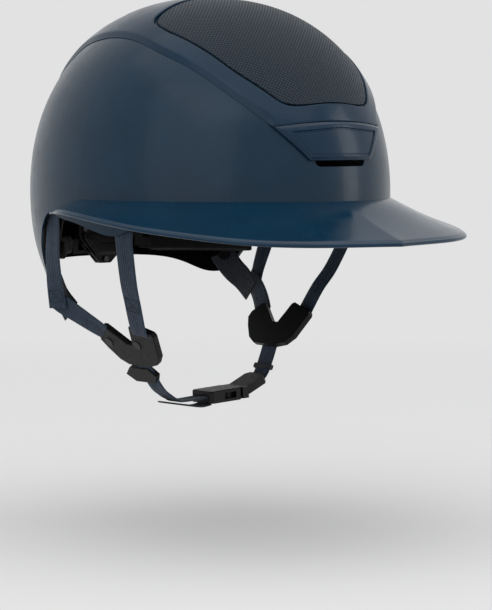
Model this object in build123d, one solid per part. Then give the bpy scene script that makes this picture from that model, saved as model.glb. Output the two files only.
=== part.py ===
"""Riding helmet with a wide brim, a sliding front vent, a four-point harness
and a dial-adjusted rear fit cradle.

Frame: millimetres, +Z up. The origin is the centre of the head opening at the
height where the brim joins the shell. The wearer faces -Y and the wearer's
left hand is towards +X.
"""

import os
from math import asin, cos, degrees, pi, radians, sin, sqrt

from build123d import *

os.makedirs("parts", exist_ok=True)

LEFT = 1
RIGHT = -1
# Reach of a cutting tool that passes right through the helmet.
FAR = 250.0

# --- Shell: a superellipse profile swept round an oval plan -----------------
SHELL_HALF_WIDTH = 114.0
SHELL_FRONT = 138.0
SHELL_REAR = 144.0
SHELL_HEIGHT = 134.5
PROFILE_POWER = 2.19
LOWER_AXIS = 140.0
SHELL_BOTTOM = -80.0
SHELL_WALL = 3.0

# Lower edge of the shell in side view, as (y, z) from the front to the rear.
SHELL_RIM = [
    (-150, -13), (-100, -13), (-62, -15), (-44, -20.8), (-32.5, -24.7), (-17, -23),
    (7, -17), (30, -13), (41, -11), (52, -17), (60, -26), (67, -37), (73, -50),
    (79, -59), (89, -60), (100, -55.5), (112, -50.5), (130, -48), (155, -48),
]

# --- Impact liner -----------------------------------------------------------
LINER_GAP = 0.3
LINER_HALF_WIDTH = 91.0
LINER_FRONT = 107.0
LINER_REAR = 113.0
LINER_HEIGHT = 107.0
LINER_RIM = [(-155, -8), (-40, -8), (20, -5), (45, -4), (62, -13), (80, -18), (155, -18)]
PAD_GAP = 0.4
PAD_THICK = 7.0
SIDE_PAD_THICK = 6.0
# Pad outlines: brow and rear pads in front view, side pads in side view, the
# lining of each rear lobe in rear view on the left.
BROW_PAD = [(-66, -3), (66, -3), (66, 25), (-66, 25)]
REAR_PAD = [(-58, -10), (58, -10), (58, 24), (-58, 24)]
SIDE_PAD = [(-52, 2), (34, 2), (60, 8), (60, 36), (-52, 36)]
LOBE_LINING = [(36, -44), (86, -44), (88, -23), (36, -23)]
LINING_THICK = 2.9

# --- Brim -------------------------------------------------------------------
# Outer edge from the front centre to the tail at the ear opening.
BRIM_EDGE = [
    (0, -194, -26.5), (68, -176, -25.8), (103, -148, -23.6), (129, -95, -18),
    (135, -52, -13.2), (132, -4, -8.4), (111, 38, -10),
]
BRIM_THICKNESS = 2.8
BRIM_DISH = 1.4
BRIM_ROOT_DEPTH = 2.0
BRIM_GAP = 0.1

# --- Crown panel, vent meshes and front vent slider ---------------------------
PANEL_RISE = 2.4
SKIN_GAP = 0.15
PANEL_TILT = 45.0
# Half outlines seen along the tilted direction, as (x, distance up the slope).
PANEL_EDGE = [(46, -50.9), (56, -34.9), (66, -12.4), (75, 21.9), (77.2, 50), (71, 94.7), (60, 122.3)]
PANEL_REAR_EDGE = [(60, 0), (57.5, -14), (51, -32), (39, -49), (22, -61), (0, -66)]
MESH_EDGE = [
    (0, 91.5), (31, 87.3), (52, 79), (61.5, 71), (65.4, 56), (65.2, 40.8), (61.9, 17.5),
    (55.5, -7.4), (45, -27.8), (36, -40), (24, -44.2), (0, -44.9),
]
REAR_MESH_EDGE = [(0, 34), (46, 37), (49, 46), (42, 82), (34, 102), (0, 105)]
MESH_INSET = 0.6
MESH_LOW = 0.4
MESH_HIGH = 1.6

BADGE_TIP = (46.0, 47.0)
BADGE_CROWN = 50.3
BADGE_FOOT = (26.0, 25.5)
BADGE_CLEAR = 0.45
BADGE_LOW = 1.0
BADGE_HIGH = 3.6
BADGE_RECESS = 1.0
BADGE_INSET = [(25, 28.5), (36, 43.8), (0, 46.6), (-36, 43.8), (-25, 28.5)]
# Air slots in the shell: (x, distance up the front slope) and (x, y) behind the crown.
VENT_SLOTS = [(-36, 34), (-12, 40), (12, 40), (36, 34)]
VENT_SLOT_LENGTH, VENT_SLOT_WIDTH = 46.0, 10.0
REAR_SLOTS = [(-18, 68), (18, 68)]
REAR_SLOT_LENGTH, REAR_SLOT_WIDTH = 40.0, 9.0
BADGE_SLOPE = 12.6
VENT_TRAVEL = 3.5
INTAKE = (44.0, 11.0, 27.0)
CLIP_X = 14.0
CLIP_Z = 41.5
CLIP_Y = -132.0

# --- Harness ----------------------------------------------------------------
WEBBING_WIDTH = 15.5
WEBBING_THICK = 1.5
NECK_WIDTH = 19.0
HANG = 3.5
DIVIDER_ORIGIN = (67.0, 4.0, -96.5)
DIVIDER_LEAN = 33.0
DIVIDER_THICK = 4.4
# Divider outline as (forward, up), from the rear leg round to the front leg.
DIVIDER_OUTLINE = [
    (-31, 1), (-30, 5.5), (-22.5, 13), (-19, 13), (-3, -1), (2.5, -1), (8.5, 14.5),
    (11, 15.8), (30, 9.5), (31, 7), (25, -11), (19, -17), (9, -19.5), (-13, -19), (-20, -15), (-27, -6),
]
DIVIDER_CHAMFER = 0.5
RIVET_RADIUS = 3.5
RIVET_SUNK = 0.8
RIVET_PROUD = 0.6
DIVIDER_RIVETS = [(8.5, -0.5), (-22, 0)]
# Webbing stations on the left side as (x, y, z, share of HANG).
FRONT_ROUTE = [
    (104.3, -36, 11, 0), (104.3, -35.6, -8, 0), (103.6, -34.6, -20, 0), (100.2, -31.4, -33, 0.1),
    (92, -25.2, -55.5, 0.5), (84.2, -20, -70.2, 0.8), (77.6, -16.3, -84.5, 1), (74.2, -15.5, -90.5, 1),
]
REAR_ROUTE = [
    (102.0, 46, 11, 0), (101.6, 46, -6, 0), (99.8, 48.5, -20, 0), (98.0, 52, -38, 0.3),
    (95.2, 54.5, -52, 0.6), (92.8, 55.8, -63, 0.9), (90.6, 56, -75, 1),
]
LINK_ROUTE = [
    (90.2, 62, -67.5, 1), (88.2, 54, -72.4, 1), (84.0, 44.6, -78, 1), (79.4, 36.4, -83.6, 1),
    (74.8, 29.6, -88.6, 1), (72.3, 26.6, -91.2, 1),
]
NECK_ROUTE = [
    (82.6, 51.5, -77.5, 1), (82.8, 61, -68.5, 0.9), (80.3, 69.4, -59.5, 0.4), (79.0, 77.5, -49.6, 0),
    (78.8, 79.6, -46.5, 0),
]
# Chin webbing from each divider down to the buckle.
RIGHT_CHIN = [
    (-61.6, 5, -107.5), (-59.4, 5, -110.6), (-56.6, 5, -114.6), (-44.0, 5, -132.4), (-36.5, 5, -138.6),
    (-30.5, 5, -141.9), (-24.5, 5, -143.5), (3.5, 5, -141.95),
]
LEFT_CHIN = [
    (62.3, 4, -101.2), (60.8, 4, -105.6), (58.9, 4.3, -112), (56.1, 5, -120.5), (52.2, 5, -128.4),
    (46.8, 5, -133.9), (40.4, 5, -137.1),
]
TAIL_ROUTE = [(-0.5, 5, -147.3), (-6, 5, -148.1), (-12, 5, -147.9), (-37, 5, -143.7)]
TAIL_THICK = 1.4
# The webbing passes the strap adjuster's middle, off centre by SLIDER_SHIFT.
SLIDER_CENTRE = (-50.3, 12.0, -123.5)
SLIDER_SHIFT = RIGHT_CHIN[2][1] - SLIDER_CENTRE[1]
# Adjuster outline as (rearward, up its face).
SLIDER_OUTLINE = [(-16.5, 0), (-11.5, -6.2), (9, -6.2), (16.5, 0), (9, 6.2), (-11.5, 6.2)]
SLIDER_THICK = 4.2

# Rivets on the left side: where each meets the shell's inner face, and how far
# inside that the inner face of the webbing lies.
ANCHORS = [(106.7, -36.0, 5.0, 3.4), (104.7, 46.0, 5.0, 3.6), (82.6, 79.6, -49.5, 5.2)]
ANCHOR_HEAD = 4.2
ANCHOR_SHANK = 2.0
ANCHOR_HOLE = 2.05

# --- Buckle -----------------------------------------------------------------
BUCKLE_POINT = (10.0, 5.0, -141.6)
BUCKLE_RISE = 3.1
FEMALE_BACK = -14.0
FEMALE_MOUTH = 15.0
BUCKLE_WIDTH = 23.0
BUCKLE_THICK = 8.6
BUCKLE_WALL = 1.8
BUCKLE_CAVITY = 4.6
MALE_BEND = 21.0
MALE_LENGTH = 25.0
ARM_OFFSET = 6.7
ARM_WIDTH = 2.6
ARM_SLOT = 4.4
ARM_GAP = 0.35

# --- Rear fit cradle ----------------------------------------------------------
CRADLE_CENTRE = 32.6
PAD_INNER, PAD_OUTER = 83.5, 88.9
COVER_INNER, COVER_OUTER = 87.4, 89.0
BAND_INNER, BAND_OUTER = 89.3, 90.9
HOUSING_INNER, HOUSING_OUTER = 91.3, 92.9
DIAL_Z = -38.0
DIAL_RADIUS = 11.0
PINION_TEETH = 8
PINION_MODULE = 1.0
PIVOT_Y, PIVOT_Z = 45.0, 3.0
PIVOT_RADIUS = 1.6
RUNNING_GAP = 0.05
# Rear-view outlines of the cradle's centre and its pad, and its screws.
HOUSING_OUTLINE = [(-27, -24.4), (27, -24.4), (27, -31.5), (5, -53), (-5, -53), (-27, -31.5)]
NAPE_PAD = [(-23, -30.5), (23, -30.5), (23, -33), (9, -46.5), (-9, -46.5), (-23, -33)]
SCREWS = [(-21, -27.3), (21, -27.3), (0, -50)]
SCREW_RADIUS, SCREW_HEAD, BOSS_RADIUS = 1.0, 2.0, 2.1
# Side-view outline of the arm that rises to the pivot.
ARM_OUTLINE = [(43.0, 1), (47.5, -1), (61, -30), (76, -34.5), (76, -38.5), (58, -38.5)]
KNUCKLE_RADIUS = 4.6
SHAFT_RADIUS = 3.0
SHAFT_END_RADIUS = 2.0
# Height of the cradle's working layer, from below the housing to above the pivots.
CRADLE_LOW, CRADLE_HIGH = -60.0, 12.0
RACK_HEIGHT = 2.4
BAND_HALF_HEIGHT = 3.0
BAND_END = 74.0


def write(name, shape):
    """Write one node as a STEP file."""
    export_step(shape, f"parts/{name}.step")


def half_length(y):
    """Shell's length from the X-Z plane, towards the side that y is on."""
    return SHELL_REAR if y > 0 else SHELL_FRONT


def mirrored(outline):
    """Complete a half outline, given from x = 0 or beyond, across the Y-Z plane."""
    return outline + [(-x, y) for x, y in reversed(outline) if x > 0]


# --- Domes ------------------------------------------------------------------
def half_dome(side, depth, height):
    """Solid half dome on the +Y side, closed below at SHELL_BOTTOM."""
    power = 2 / PROFILE_POWER
    steps = [radians(90 - 9 * i) for i in range(11)]
    upper = [(side * max(cos(t), 0) ** power, height * sin(t) ** power) for t in steps]
    upper[0], upper[-1] = (0, height), (side, 0)
    reach = asin(-SHELL_BOTTOM / LOWER_AXIS)
    lower = [(side * cos(reach * i / 4), -LOWER_AXIS * sin(reach * i / 4)) for i in range(1, 5)]
    curve = Spline(*upper, *lower, tangents=[(1, 0), (-side * sin(reach), -LOWER_AXIS * cos(reach))])
    foot = Polyline(lower[-1], (0, SHELL_BOTTOM), (0, height))
    profile = Plane.XZ * make_face(curve + foot)
    solid = revolve(profile, axis=Axis.Z, revolution_arc=180)
    if solid.center().Y < 0:
        solid = solid.mirror(Plane.XZ)
    return scale(solid, by=(1, depth / side, 1))


def dome_of(side, front, rear, height):
    """Solid dome with its own length in front of and behind the X-Z plane."""
    return half_dome(side, rear, height) + half_dome(side, front, height).mirror(Plane.XZ)


def dome(grow):
    """Solid dome with the shell's outer surface moved out by grow."""
    return dome_of(SHELL_HALF_WIDTH + grow, SHELL_FRONT + grow, SHELL_REAR + grow, SHELL_HEIGHT + grow)


def liner_bore(grow):
    """Solid that fills the liner's hollow, moved out by grow."""
    return dome_of(LINER_HALF_WIDTH + grow, LINER_FRONT + grow, LINER_REAR + grow, LINER_HEIGHT + grow)


def below_rim(rim):
    """Everything under a side-view rim curve."""
    (y0, _), (y1, _) = rim[0], rim[-1]
    outline = Spline(*rim) + Polyline(rim[-1], (y1, -200), (y0, -200), rim[0])
    return extrude(Plane.YZ * make_face(outline), amount=200, both=True)


def rounded_prism(plane, points, radius, amount):
    """Prism with rounded corners on a plane."""
    face = make_face(Polyline(*points, close=True))
    face = fillet(face.vertices(), radius)
    return extrude(plane * face, amount=amount)


SLOPE_PLANE = Plane(
    origin=(0, 0, 0), x_dir=(1, 0, 0), z_dir=(0, -sin(radians(PANEL_TILT)), cos(radians(PANEL_TILT)))
)
REAR_SLOPE_PLANE = Plane(
    origin=(0, 0, 0), x_dir=(-1, 0, 0), z_dir=(0, sin(radians(PANEL_TILT)), cos(radians(PANEL_TILT)))
)
OUTER = dome(0)


# --- Shell, liner and brim ------------------------------------------------------
def badge_outline(grow):
    """Six-sided badge outline in front view, widened by grow all round."""
    tip_x, tip_z = BADGE_TIP
    foot_x, foot_z = BADGE_FOOT
    side = Line((foot_x, foot_z), (tip_x, tip_z))
    top = ThreePointArc((tip_x, tip_z), (0, BADGE_CROWN), (-tip_x, tip_z))
    rest = Polyline((-tip_x, tip_z), (-foot_x, foot_z), (foot_x, foot_z))
    face = make_face(side + top + rest)
    if grow:
        face = offset(face, amount=grow, kind=Kind.INTERSECTION)
    return face


def clip_box(width, tall, near, far, shift=0.0):
    """Box through the shell at each vent clip, in line with the vent's slide."""
    boxes = []
    for side in (LEFT, RIGHT):
        place = Location((side * CLIP_X, CLIP_Y, CLIP_Z), (-BADGE_SLOPE, 0, 0))
        box = Box(width, near + far, tall).moved(Location((0, (near - far) / 2, shift)))
        boxes.append(box.moved(place))
    return boxes


def air_slots():
    """Air slots under the front and rear meshes."""
    front = SlotOverall(VENT_SLOT_LENGTH, VENT_SLOT_WIDTH)
    rear = SlotOverall(REAR_SLOT_LENGTH, REAR_SLOT_WIDTH)
    tools = [extrude(SLOPE_PLANE * (Pos(x, y) * Rot(0, 0, 90) * front), amount=FAR) for x, y in VENT_SLOTS]
    tools += [extrude(Plane.XY * (Pos(x, y) * Rot(0, 0, 90) * rear), amount=FAR) for x, y in REAR_SLOTS]
    return tools


def rivet_axis(x, y, z):
    """Outward direction of the shell's inner face at a rivet."""
    depth = half_length(y)
    return Vector(x / SHELL_HALF_WIDTH**2, y / depth**2, min(z, 0) / LOWER_AXIS**2).normalized()


def anchor_cylinder(radius, start, end, from_strap=False):
    """Cylinders along each rivet's axis, ending at a distance out from the shell's inner face.

    They start at a distance out from the shell's inner face, or from the webbing's if from_strap is true.
    """
    bodies = []
    for x, y, z, depth in ANCHORS:
        out = rivet_axis(x, y, z)
        first = start - depth if from_strap else start
        for side in (LEFT, RIGHT):
            direction = Vector(side * out.X, out.Y, out.Z)
            plane = Plane(origin=Vector(side * x, y, z) + direction * first, z_dir=direction)
            bodies.append(extrude(plane * Circle(radius), amount=end - first))
    return bodies


def make_shell():
    shell = OUTER - dome(-SHELL_WALL) - below_rim(SHELL_RIM)
    width, tall, middle = INTAKE
    shell -= rounded_prism(Plane.XZ, box_points(width, tall, 0, middle), 4, 200)
    for tool in air_slots():
        shell -= tool
    for tool in clip_box(3.8, 5.6 + VENT_TRAVEL, 8, 10, shift=-VENT_TRAVEL / 2):
        shell -= tool
    return shell


def box_points(width, tall, x, y):
    """Corners of a rectangle about a point."""
    return [
        (x - width / 2, y - tall / 2), (x + width / 2, y - tall / 2),
        (x + width / 2, y + tall / 2), (x - width / 2, y + tall / 2),
    ]


def pocket(y, z_top, width, inner, outer):
    """Side pocket in the liner on both sides, open at the bottom."""
    tall = z_top + 40
    blocks = []
    for side in (LEFT, RIGHT):
        blocks.append(Pos(side * (inner + outer) / 2, y, z_top - tall / 2) * Box(outer - inner, width, tall))
    return blocks


def make_liner():
    inset = SHELL_WALL + LINER_GAP
    liner = dome(-inset) - liner_bore(0) - below_rim(LINER_RIM)
    width, tall, middle = INTAKE
    liner -= rounded_prism(Plane.XZ, box_points(width + 2, tall + 2, 0, middle), 4, 200)
    for tool in air_slots():
        liner -= tool
    for tool in clip_box(13, 20, 9, 12, shift=-VENT_TRAVEL / 2):
        liner -= tool
    for tool in pocket(-36, 15, 23, 98.5, 125) + pocket(46, 15, 23, 96, 125):
        liner -= tool
    for tool in pocket(48, 12, 26, 87, 95.2):
        liner -= tool
    for side in (LEFT, RIGHT):
        liner -= Pos(side * 91, PIVOT_Y, PIVOT_Z) * Rot(0, 90, 0) * Cylinder(PIVOT_RADIUS + 0.02, 15)
    return liner


def brim_rows():
    """Grid of points over half the brim's width, from its root to its edge."""
    half = Spline(*BRIM_EDGE)
    steps = [1 - (i / 12) for i in range(12)] + [0.0]
    edge = [half @ t for t in steps]
    edge += [Vector(-p.X, p.Y, p.Z) for p in reversed(edge[:-1])]
    rows = []
    for p in edge:
        reach = 1 / sqrt((p.X / SHELL_HALF_WIDTH) ** 2 + (p.Y / half_length(p.Y)) ** 2)
        inset = 1 - BRIM_ROOT_DEPTH / SHELL_HALF_WIDTH
        tail = max(0.0, (p.Y * reach + 2) / 40)
        root_z = -10 * min(1.0, tail) ** 1.5
        root = Vector(p.X * reach * inset, p.Y * reach * inset, root_z)
        row = []
        for i in range(5):
            u = i / 4
            point = root + (p - root) * u
            dish = BRIM_DISH * sin(pi * u) * min(1.0, (p - root).length / 40)
            row.append(Vector(point.X, point.Y, point.Z - dish))
        rows.append(row)
    return rows


def make_brim():
    top = Face.make_surface_from_array_of_points(brim_rows(), tol=0.02)
    slab = extrude(top, amount=BRIM_THICKNESS, dir=(0, 0, -1))
    return slab - dome(BRIM_GAP)


# --- Crown panel, meshes and the sliding badge -----------------------------------
def shrunk(points, inset):
    """Outline drawn in towards its middle height by about inset."""
    lows, highs = min(y for _, y in points), max(y for _, y in points)
    middle, wide = (lows + highs) / 2, max(x for x, _ in points)
    across, along = 1 - inset / wide, 1 - 2 * inset / (highs - lows)
    return [(x * across, middle + (y - middle) * along) for x, y in points]


def panel_tool():
    """Prisms that cut the panel's outline, one for the front slope and one for the rear."""
    left = [(-x, y) for x, y in reversed(PANEL_EDGE)]
    front = Spline(*PANEL_EDGE) + Polyline(PANEL_EDGE[-1], (60, 175), (-60, 175), left[0])
    front = front + Spline(*left) + Line(left[-1], PANEL_EDGE[0])
    rear_left = [(-x, y) for x, y in reversed(PANEL_REAR_EDGE)]
    rear = Spline(*PANEL_REAR_EDGE, *rear_left[1:]) + Line(rear_left[-1], PANEL_REAR_EDGE[0])
    return extrude(SLOPE_PLANE * make_face(front), FAR), extrude(REAR_SLOPE_PLANE * make_face(rear), FAR)


def mesh_prism(inset):
    """Prism through the front mesh window."""
    points = mirrored(shrunk(MESH_EDGE, inset))
    return extrude(SLOPE_PLANE * make_face(Spline(*points, periodic=True)), amount=FAR)


def rear_mesh_prism(inset):
    """Prism through the rear mesh window."""
    points = mirrored(shrunk(REAR_MESH_EDGE, inset))
    return Pos(0, 0, 60) * rounded_prism(Plane.XY, points, 3, 120)


def make_panel():
    layer = dome(PANEL_RISE) - dome(SKIN_GAP)
    front, rear = panel_tool()
    below_seam = extrude(Plane.XZ * badge_outline(BADGE_CLEAR), amount=200)
    panel = (layer & front) + (layer & rear)
    panel -= below_seam
    panel -= Pos(0, -120, 0) * Box(300, 160, 2 * BADGE_TIP[1] - 1)
    return panel - mesh_prism(0) - rear_mesh_prism(0)


def make_mesh(prism):
    return (dome(MESH_HIGH) - dome(MESH_LOW)) & prism


def make_badge():
    badge = (dome(BADGE_HIGH) - dome(BADGE_LOW)) & extrude(Plane.XZ * badge_outline(0), amount=200)
    badge -= rounded_prism(Plane.XZ, BADGE_INSET, 1.5, FAR) - dome(BADGE_HIGH - BADGE_RECESS)
    badge += Pos(17, -137.0, 25.4) * Box(4, 1.8, 2.0)
    for stem, head in zip(clip_box(3.0, 5.0, 4.0, 2.2), clip_box(6.5, 5.0, 5.2, -3.7)):
        badge += stem
        badge += head
    return badge


# --- Comfort pads ------------------------------------------------------------------
def bore_layer(thickness):
    """Layer that lines the liner's hollow."""
    return liner_bore(-PAD_GAP) - liner_bore(-PAD_GAP - thickness)


def make_crown_pad():
    return bore_layer(PAD_THICK) & (Pos(0, 4, 60) * extrude(Ellipse(42, 56), amount=120))


def make_brow_pad():
    return bore_layer(PAD_THICK) & rounded_prism(Plane.XZ, BROW_PAD, 8, 200)


def make_rear_pad():
    return bore_layer(PAD_THICK) & rounded_prism(Plane.XZ, REAR_PAD, 8, -200)


def make_side_pad(side):
    return bore_layer(SIDE_PAD_THICK) & rounded_prism(Plane.YZ, SIDE_PAD, 8, side * 200)


def make_lobe_lining(side):
    outside = -SHELL_WALL - LINER_GAP
    layer = dome(outside) - dome(outside - LINING_THICK)
    prism = rounded_prism(Plane.XZ, [(side * x, z) for x, z in LOBE_LINING], 3, -200)
    return layer & prism & (Pos(0, 120, -40) * Box(300, 100, 100))


# --- Harness -----------------------------------------------------------------------
def hang(side, x, y, z, share):
    """Point on one side of the harness; the right side hangs lower than the left."""
    return Vector(side * x, y, z + side * HANG * share)


def strap(stations, width, across_start, across_end, thick=WEBBING_THICK):
    """Flat webbing lofted through stations, its width turning from one direction to another."""
    sections = []
    count = len(stations)
    for i, point in enumerate(stations):
        before = stations[max(i - 1, 0)]
        after = stations[min(i + 1, count - 1)]
        along = (after - before).normalized()
        share = i / (count - 1)
        across = Vector(*across_start) * (1 - share) + Vector(*across_end) * share
        across = (across - along * across.dot(along)).normalized()
        sections.append(Plane(origin=point, x_dir=across, z_dir=along) * Rectangle(width, thick))
    return loft(sections, ruled=True)


def side_route(side, route):
    return [hang(side, *station) for station in route]


def front_turn(side):
    """Directions of the front webbing's width at its two ends."""
    return (side * 0.22, 0.975, 0), (side * 0.06, 0.99, 0.1)


def link_turn(side):
    """Directions of the rear link's width at its two ends."""
    return (0, 0.53, -0.85), (side * -0.35, 0.75, -0.54)


def make_front_strap(side):
    return pierce(strap(side_route(side, FRONT_ROUTE), WEBBING_WIDTH, *front_turn(side)))


def make_rear_strap(side):
    turn = (side * -0.27, 0.96, 0), (side * 0.25, 0.95, 0.05)
    return pierce(strap(side_route(side, REAR_ROUTE), WEBBING_WIDTH, *turn))


def make_rear_link(side):
    return strap(side_route(side, LINK_ROUTE), WEBBING_WIDTH, *link_turn(side))


def make_neck_strap(side):
    turn = (side * 0.05, 0.65, -0.65), (side * -0.55, 0.49, -0.63)
    return pierce(strap(side_route(side, NECK_ROUTE), NECK_WIDTH, *turn))


def pierce(belt):
    """Cut the rivet holes that meet a strap."""
    for tool in anchor_cylinder(ANCHOR_HOLE, -7, 3):
        belt -= tool
    return belt


def make_anchor_rivets():
    """Rivets with their heads inside the webbing and their shanks pressed into the shell's wall."""
    webbing = anchor_cylinder(ANCHOR_HEAD + 1, 0, 2, True)
    heads = [rod - cut for rod, cut in zip(anchor_cylinder(ANCHOR_HEAD, -1.2, 0, True), webbing)]
    shanks = anchor_cylinder(ANCHOR_SHANK, -0.6, 2.0, True)
    return Compound(children=[head + shank for head, shank in zip(heads, shanks)])


def divider_plane(side):
    """Plane of a divider: x forward on the right side, y up the plate, z outward."""
    lean = radians(DIVIDER_LEAN)
    x, y, z = DIVIDER_ORIGIN
    origin = hang(side, x, y, z, 1)
    return Plane(origin=origin, x_dir=(0, side, 0), z_dir=(side * cos(lean), 0, -sin(lean)))


def divider_points(side, points):
    """Divider outline on the right side, or its mirror image on the left."""
    return [(-side * p, q) for p, q in points]


def make_divider(side):
    plane = divider_plane(side)
    face = make_face(Polyline(*divider_points(side, DIVIDER_OUTLINE), close=True))
    plate = extrude(plane * face, amount=DIVIDER_THICK / 2, both=True)
    outer = plate.faces().sort_by(Axis(plane.origin, plane.z_dir))[-1]
    plate = chamfer(outer.outer_wire().edges(), DIVIDER_CHAMFER)
    for tool in divider_pockets(side) + divider_rods(side, RIVET_RADIUS, 5):
        plate -= tool
    return plate


def divider_rods(side, radius, length):
    """Rods at a divider's two rivets, standing on the floor of their recesses."""
    plane = divider_plane(side)
    base = Plane(plane.origin + plane.z_dir * (DIVIDER_THICK / 2 - RIVET_SUNK), plane.x_dir, plane.z_dir)
    return [base * extrude(Pos(-side * p, q) * Circle(radius), length) for p, q in DIVIDER_RIVETS]


def divider_pockets(side):
    """Slots where the three webbings enter a divider, cut round the webbings themselves."""
    wide, thick = WEBBING_WIDTH + 0.8, WEBBING_THICK + 0.6
    return [
        strap(side_route(side, FRONT_ROUTE), wide, *front_turn(side), thick),
        strap(side_route(side, LINK_ROUTE), wide, *link_turn(side), thick),
        chin_webbing(RIGHT_CHIN if side == RIGHT else LEFT_CHIN, wide, thick),
    ]


def make_divider_rivets():
    caps = []
    for side in (LEFT, RIGHT):
        caps += divider_rods(side, RIVET_RADIUS - 0.1, RIVET_SUNK + RIVET_PROUD)
    return Compound(children=caps)


def chin_webbing(route, width=WEBBING_WIDTH, thick=WEBBING_THICK):
    """Chin webbing along a route, its width fore and aft."""
    return strap([Vector(*p) for p in route], width, (0, 1, 0), (0, 1, 0), thick)


def slider_plane():
    """Plane of the strap adjuster: x rearward, z along the webbing, downwards."""
    start, end = Vector(*RIGHT_CHIN[2]), Vector(*RIGHT_CHIN[3])
    return Plane(origin=SLIDER_CENTRE, x_dir=(0, 1, 0), z_dir=(end - start).normalized())


def make_slider():
    """Six-sided plate with a slot that the chin webbing runs through."""
    plane = slider_plane()
    flat = Plane(origin=plane.origin, x_dir=(0, 1, 0), z_dir=plane.y_dir)
    face = make_face(Polyline(*SLIDER_OUTLINE, close=True))
    plate = extrude(flat * face, amount=SLIDER_THICK / 2, both=True)
    slot = plane * (Pos(SLIDER_SHIFT, 0) * Rectangle(WEBBING_WIDTH + 0.7, WEBBING_THICK + 0.7))
    plate -= extrude(slot, amount=30, both=True)
    return chamfer(plate.edges().group_by(SortBy.LENGTH)[-1], 0.3)


# --- Buckle ----------------------------------------------------------------------
def buckle_plane():
    """Buckle frame: x towards the plug half, y rearward, z up."""
    rise = radians(BUCKLE_RISE)
    return Plane(origin=BUCKLE_POINT, x_dir=(cos(rise), 0, sin(rise)), z_dir=(-sin(rise), 0, cos(rise)))


def in_buckle(shape):
    """Place a shape drawn in the buckle's own frame."""
    return shape.moved(buckle_plane().location)


def block(x0, x1, wide, low, high):
    """Box from x0 to x1, centred across y, between two heights."""
    return Pos((x0 + x1) / 2, 0, (low + high) / 2) * Box(x1 - x0, wide, high - low)


def make_female():
    """Socket half: two plates joined by a rear wall with a webbing slot, open at the sides."""
    top = BUCKLE_THICK / 2
    body = block(FEMALE_BACK, FEMALE_MOUTH, BUCKLE_WIDTH, -top, top)
    body = chamfer(body.edges().filter_by(Axis.Z), 2.2)
    body = fillet(body.faces().sort_by(Axis.Z)[-1].outer_wire().edges(), 1.2)
    half = BUCKLE_CAVITY / 2
    cavity = block(FEMALE_BACK + 9, FEMALE_MOUTH + 1, BUCKLE_WIDTH - 2 * BUCKLE_WALL, -half, half)
    window = block(FEMALE_BACK + 12, FEMALE_MOUTH - 6, BUCKLE_WIDTH + 2, -half, half)
    slot = block(FEMALE_BACK - 1, FEMALE_MOUTH, WEBBING_WIDTH + 1.2, -1.3, 1.3)
    notch = block(FEMALE_BACK + 3, FEMALE_BACK + 6.5, WEBBING_WIDTH + 1.2, -top - 1, 1.3)
    return in_buckle(body - cavity - window - slot - notch)


def make_male():
    """Plug half: a centre tongue on a collar, and a body that bends up to the webbing bar."""
    half = BUCKLE_CAVITY / 2 - ARM_GAP
    rise = BUCKLE_THICK / 2 - 0.3
    tongue = block(-2, FEMALE_MOUTH + 4, 5.0, -half, half)
    collar = block(FEMALE_MOUTH + 0.5, FEMALE_MOUTH + 6, BUCKLE_WIDTH - 1, -rise, rise)
    tail = block(0, MALE_LENGTH - 3, BUCKLE_WIDTH - 3, -3.0, 3.0)
    tail = chamfer(tail.edges().filter_by(Axis.Z), 3)
    tail = tail.moved(Location((FEMALE_MOUTH + 4, 0, 0.2), (0, -MALE_BEND, 0)))
    body = tongue + collar + tail
    for arm_side in (LEFT, RIGHT):
        root = block(FEMALE_MOUTH - 1, FEMALE_MOUTH + 3.4, ARM_SLOT, -half - ARM_GAP, half + ARM_GAP)
        body -= Pos(0, arm_side * ARM_OFFSET, 0) * root
    placed = in_buckle(body)
    return placed - chin_webbing(LEFT_CHIN, WEBBING_WIDTH + 0.8, WEBBING_THICK + 0.8)


def make_tab(arm_side):
    """Sprung side arm of the plug, with a rounded finger pad near its tip."""
    half = BUCKLE_CAVITY / 2 - ARM_GAP
    arm = Pos(0, arm_side * ARM_OFFSET, 0) * block(-1, FEMALE_MOUTH + 3, ARM_WIDTH, -half, half)
    pad = Pos(4.2, arm_side * (ARM_OFFSET + 0.5), 0) * Cylinder(2.2, 2 * half)
    return in_buckle(arm + pad)


def make_strap_tail():
    """Free end of the chin webbing, turned back under the socket half."""
    return chin_webbing(TAIL_ROUTE, WEBBING_WIDTH, TAIL_THICK) - make_female_hull()


def make_female_hull():
    """Outer block of the socket half with a little clearance."""
    top = BUCKLE_THICK / 2 + 0.02
    return in_buckle(block(FEMALE_BACK - 0.02, FEMALE_MOUTH, BUCKLE_WIDTH + 1, -top, top))


def make_keeper():
    """Elastic band that gathers the left chin webbing above the plug."""
    a, b = Vector(*LEFT_CHIN[3]), Vector(*LEFT_CHIN[4])
    middle = (a + b) * 0.5
    plane = Plane(origin=middle, x_dir=(0, 1, 0), z_dir=(b - a).normalized())
    hole = Rectangle(WEBBING_WIDTH + 0.6, WEBBING_THICK + 0.7)
    ring = Rectangle(WEBBING_WIDTH + 3.4, WEBBING_THICK + 3.6) - hole
    return extrude(plane * ring, amount=2.0, both=True)


# --- Rear fit cradle -----------------------------------------------------------------
def ring_layer(inner, outer, low, high):
    """Upright ring about the cradle's centre."""
    ring = Circle(outer) - Circle(inner)
    return Pos(0, CRADLE_CENTRE, low) * extrude(ring, amount=high - low)


def wedge(start, end, low, high, reach=130):
    """Sector of the space behind the cradle's centre, angles from the rear towards the left."""
    steps = [start + (end - start) * i / 4 for i in range(5)]
    points = [(0, 0)] + [(reach * sin(radians(a)), reach * cos(radians(a))) for a in steps]
    return Pos(0, CRADLE_CENTRE, low) * extrude(make_face(Polyline(*points, close=True)), amount=high - low)


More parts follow.
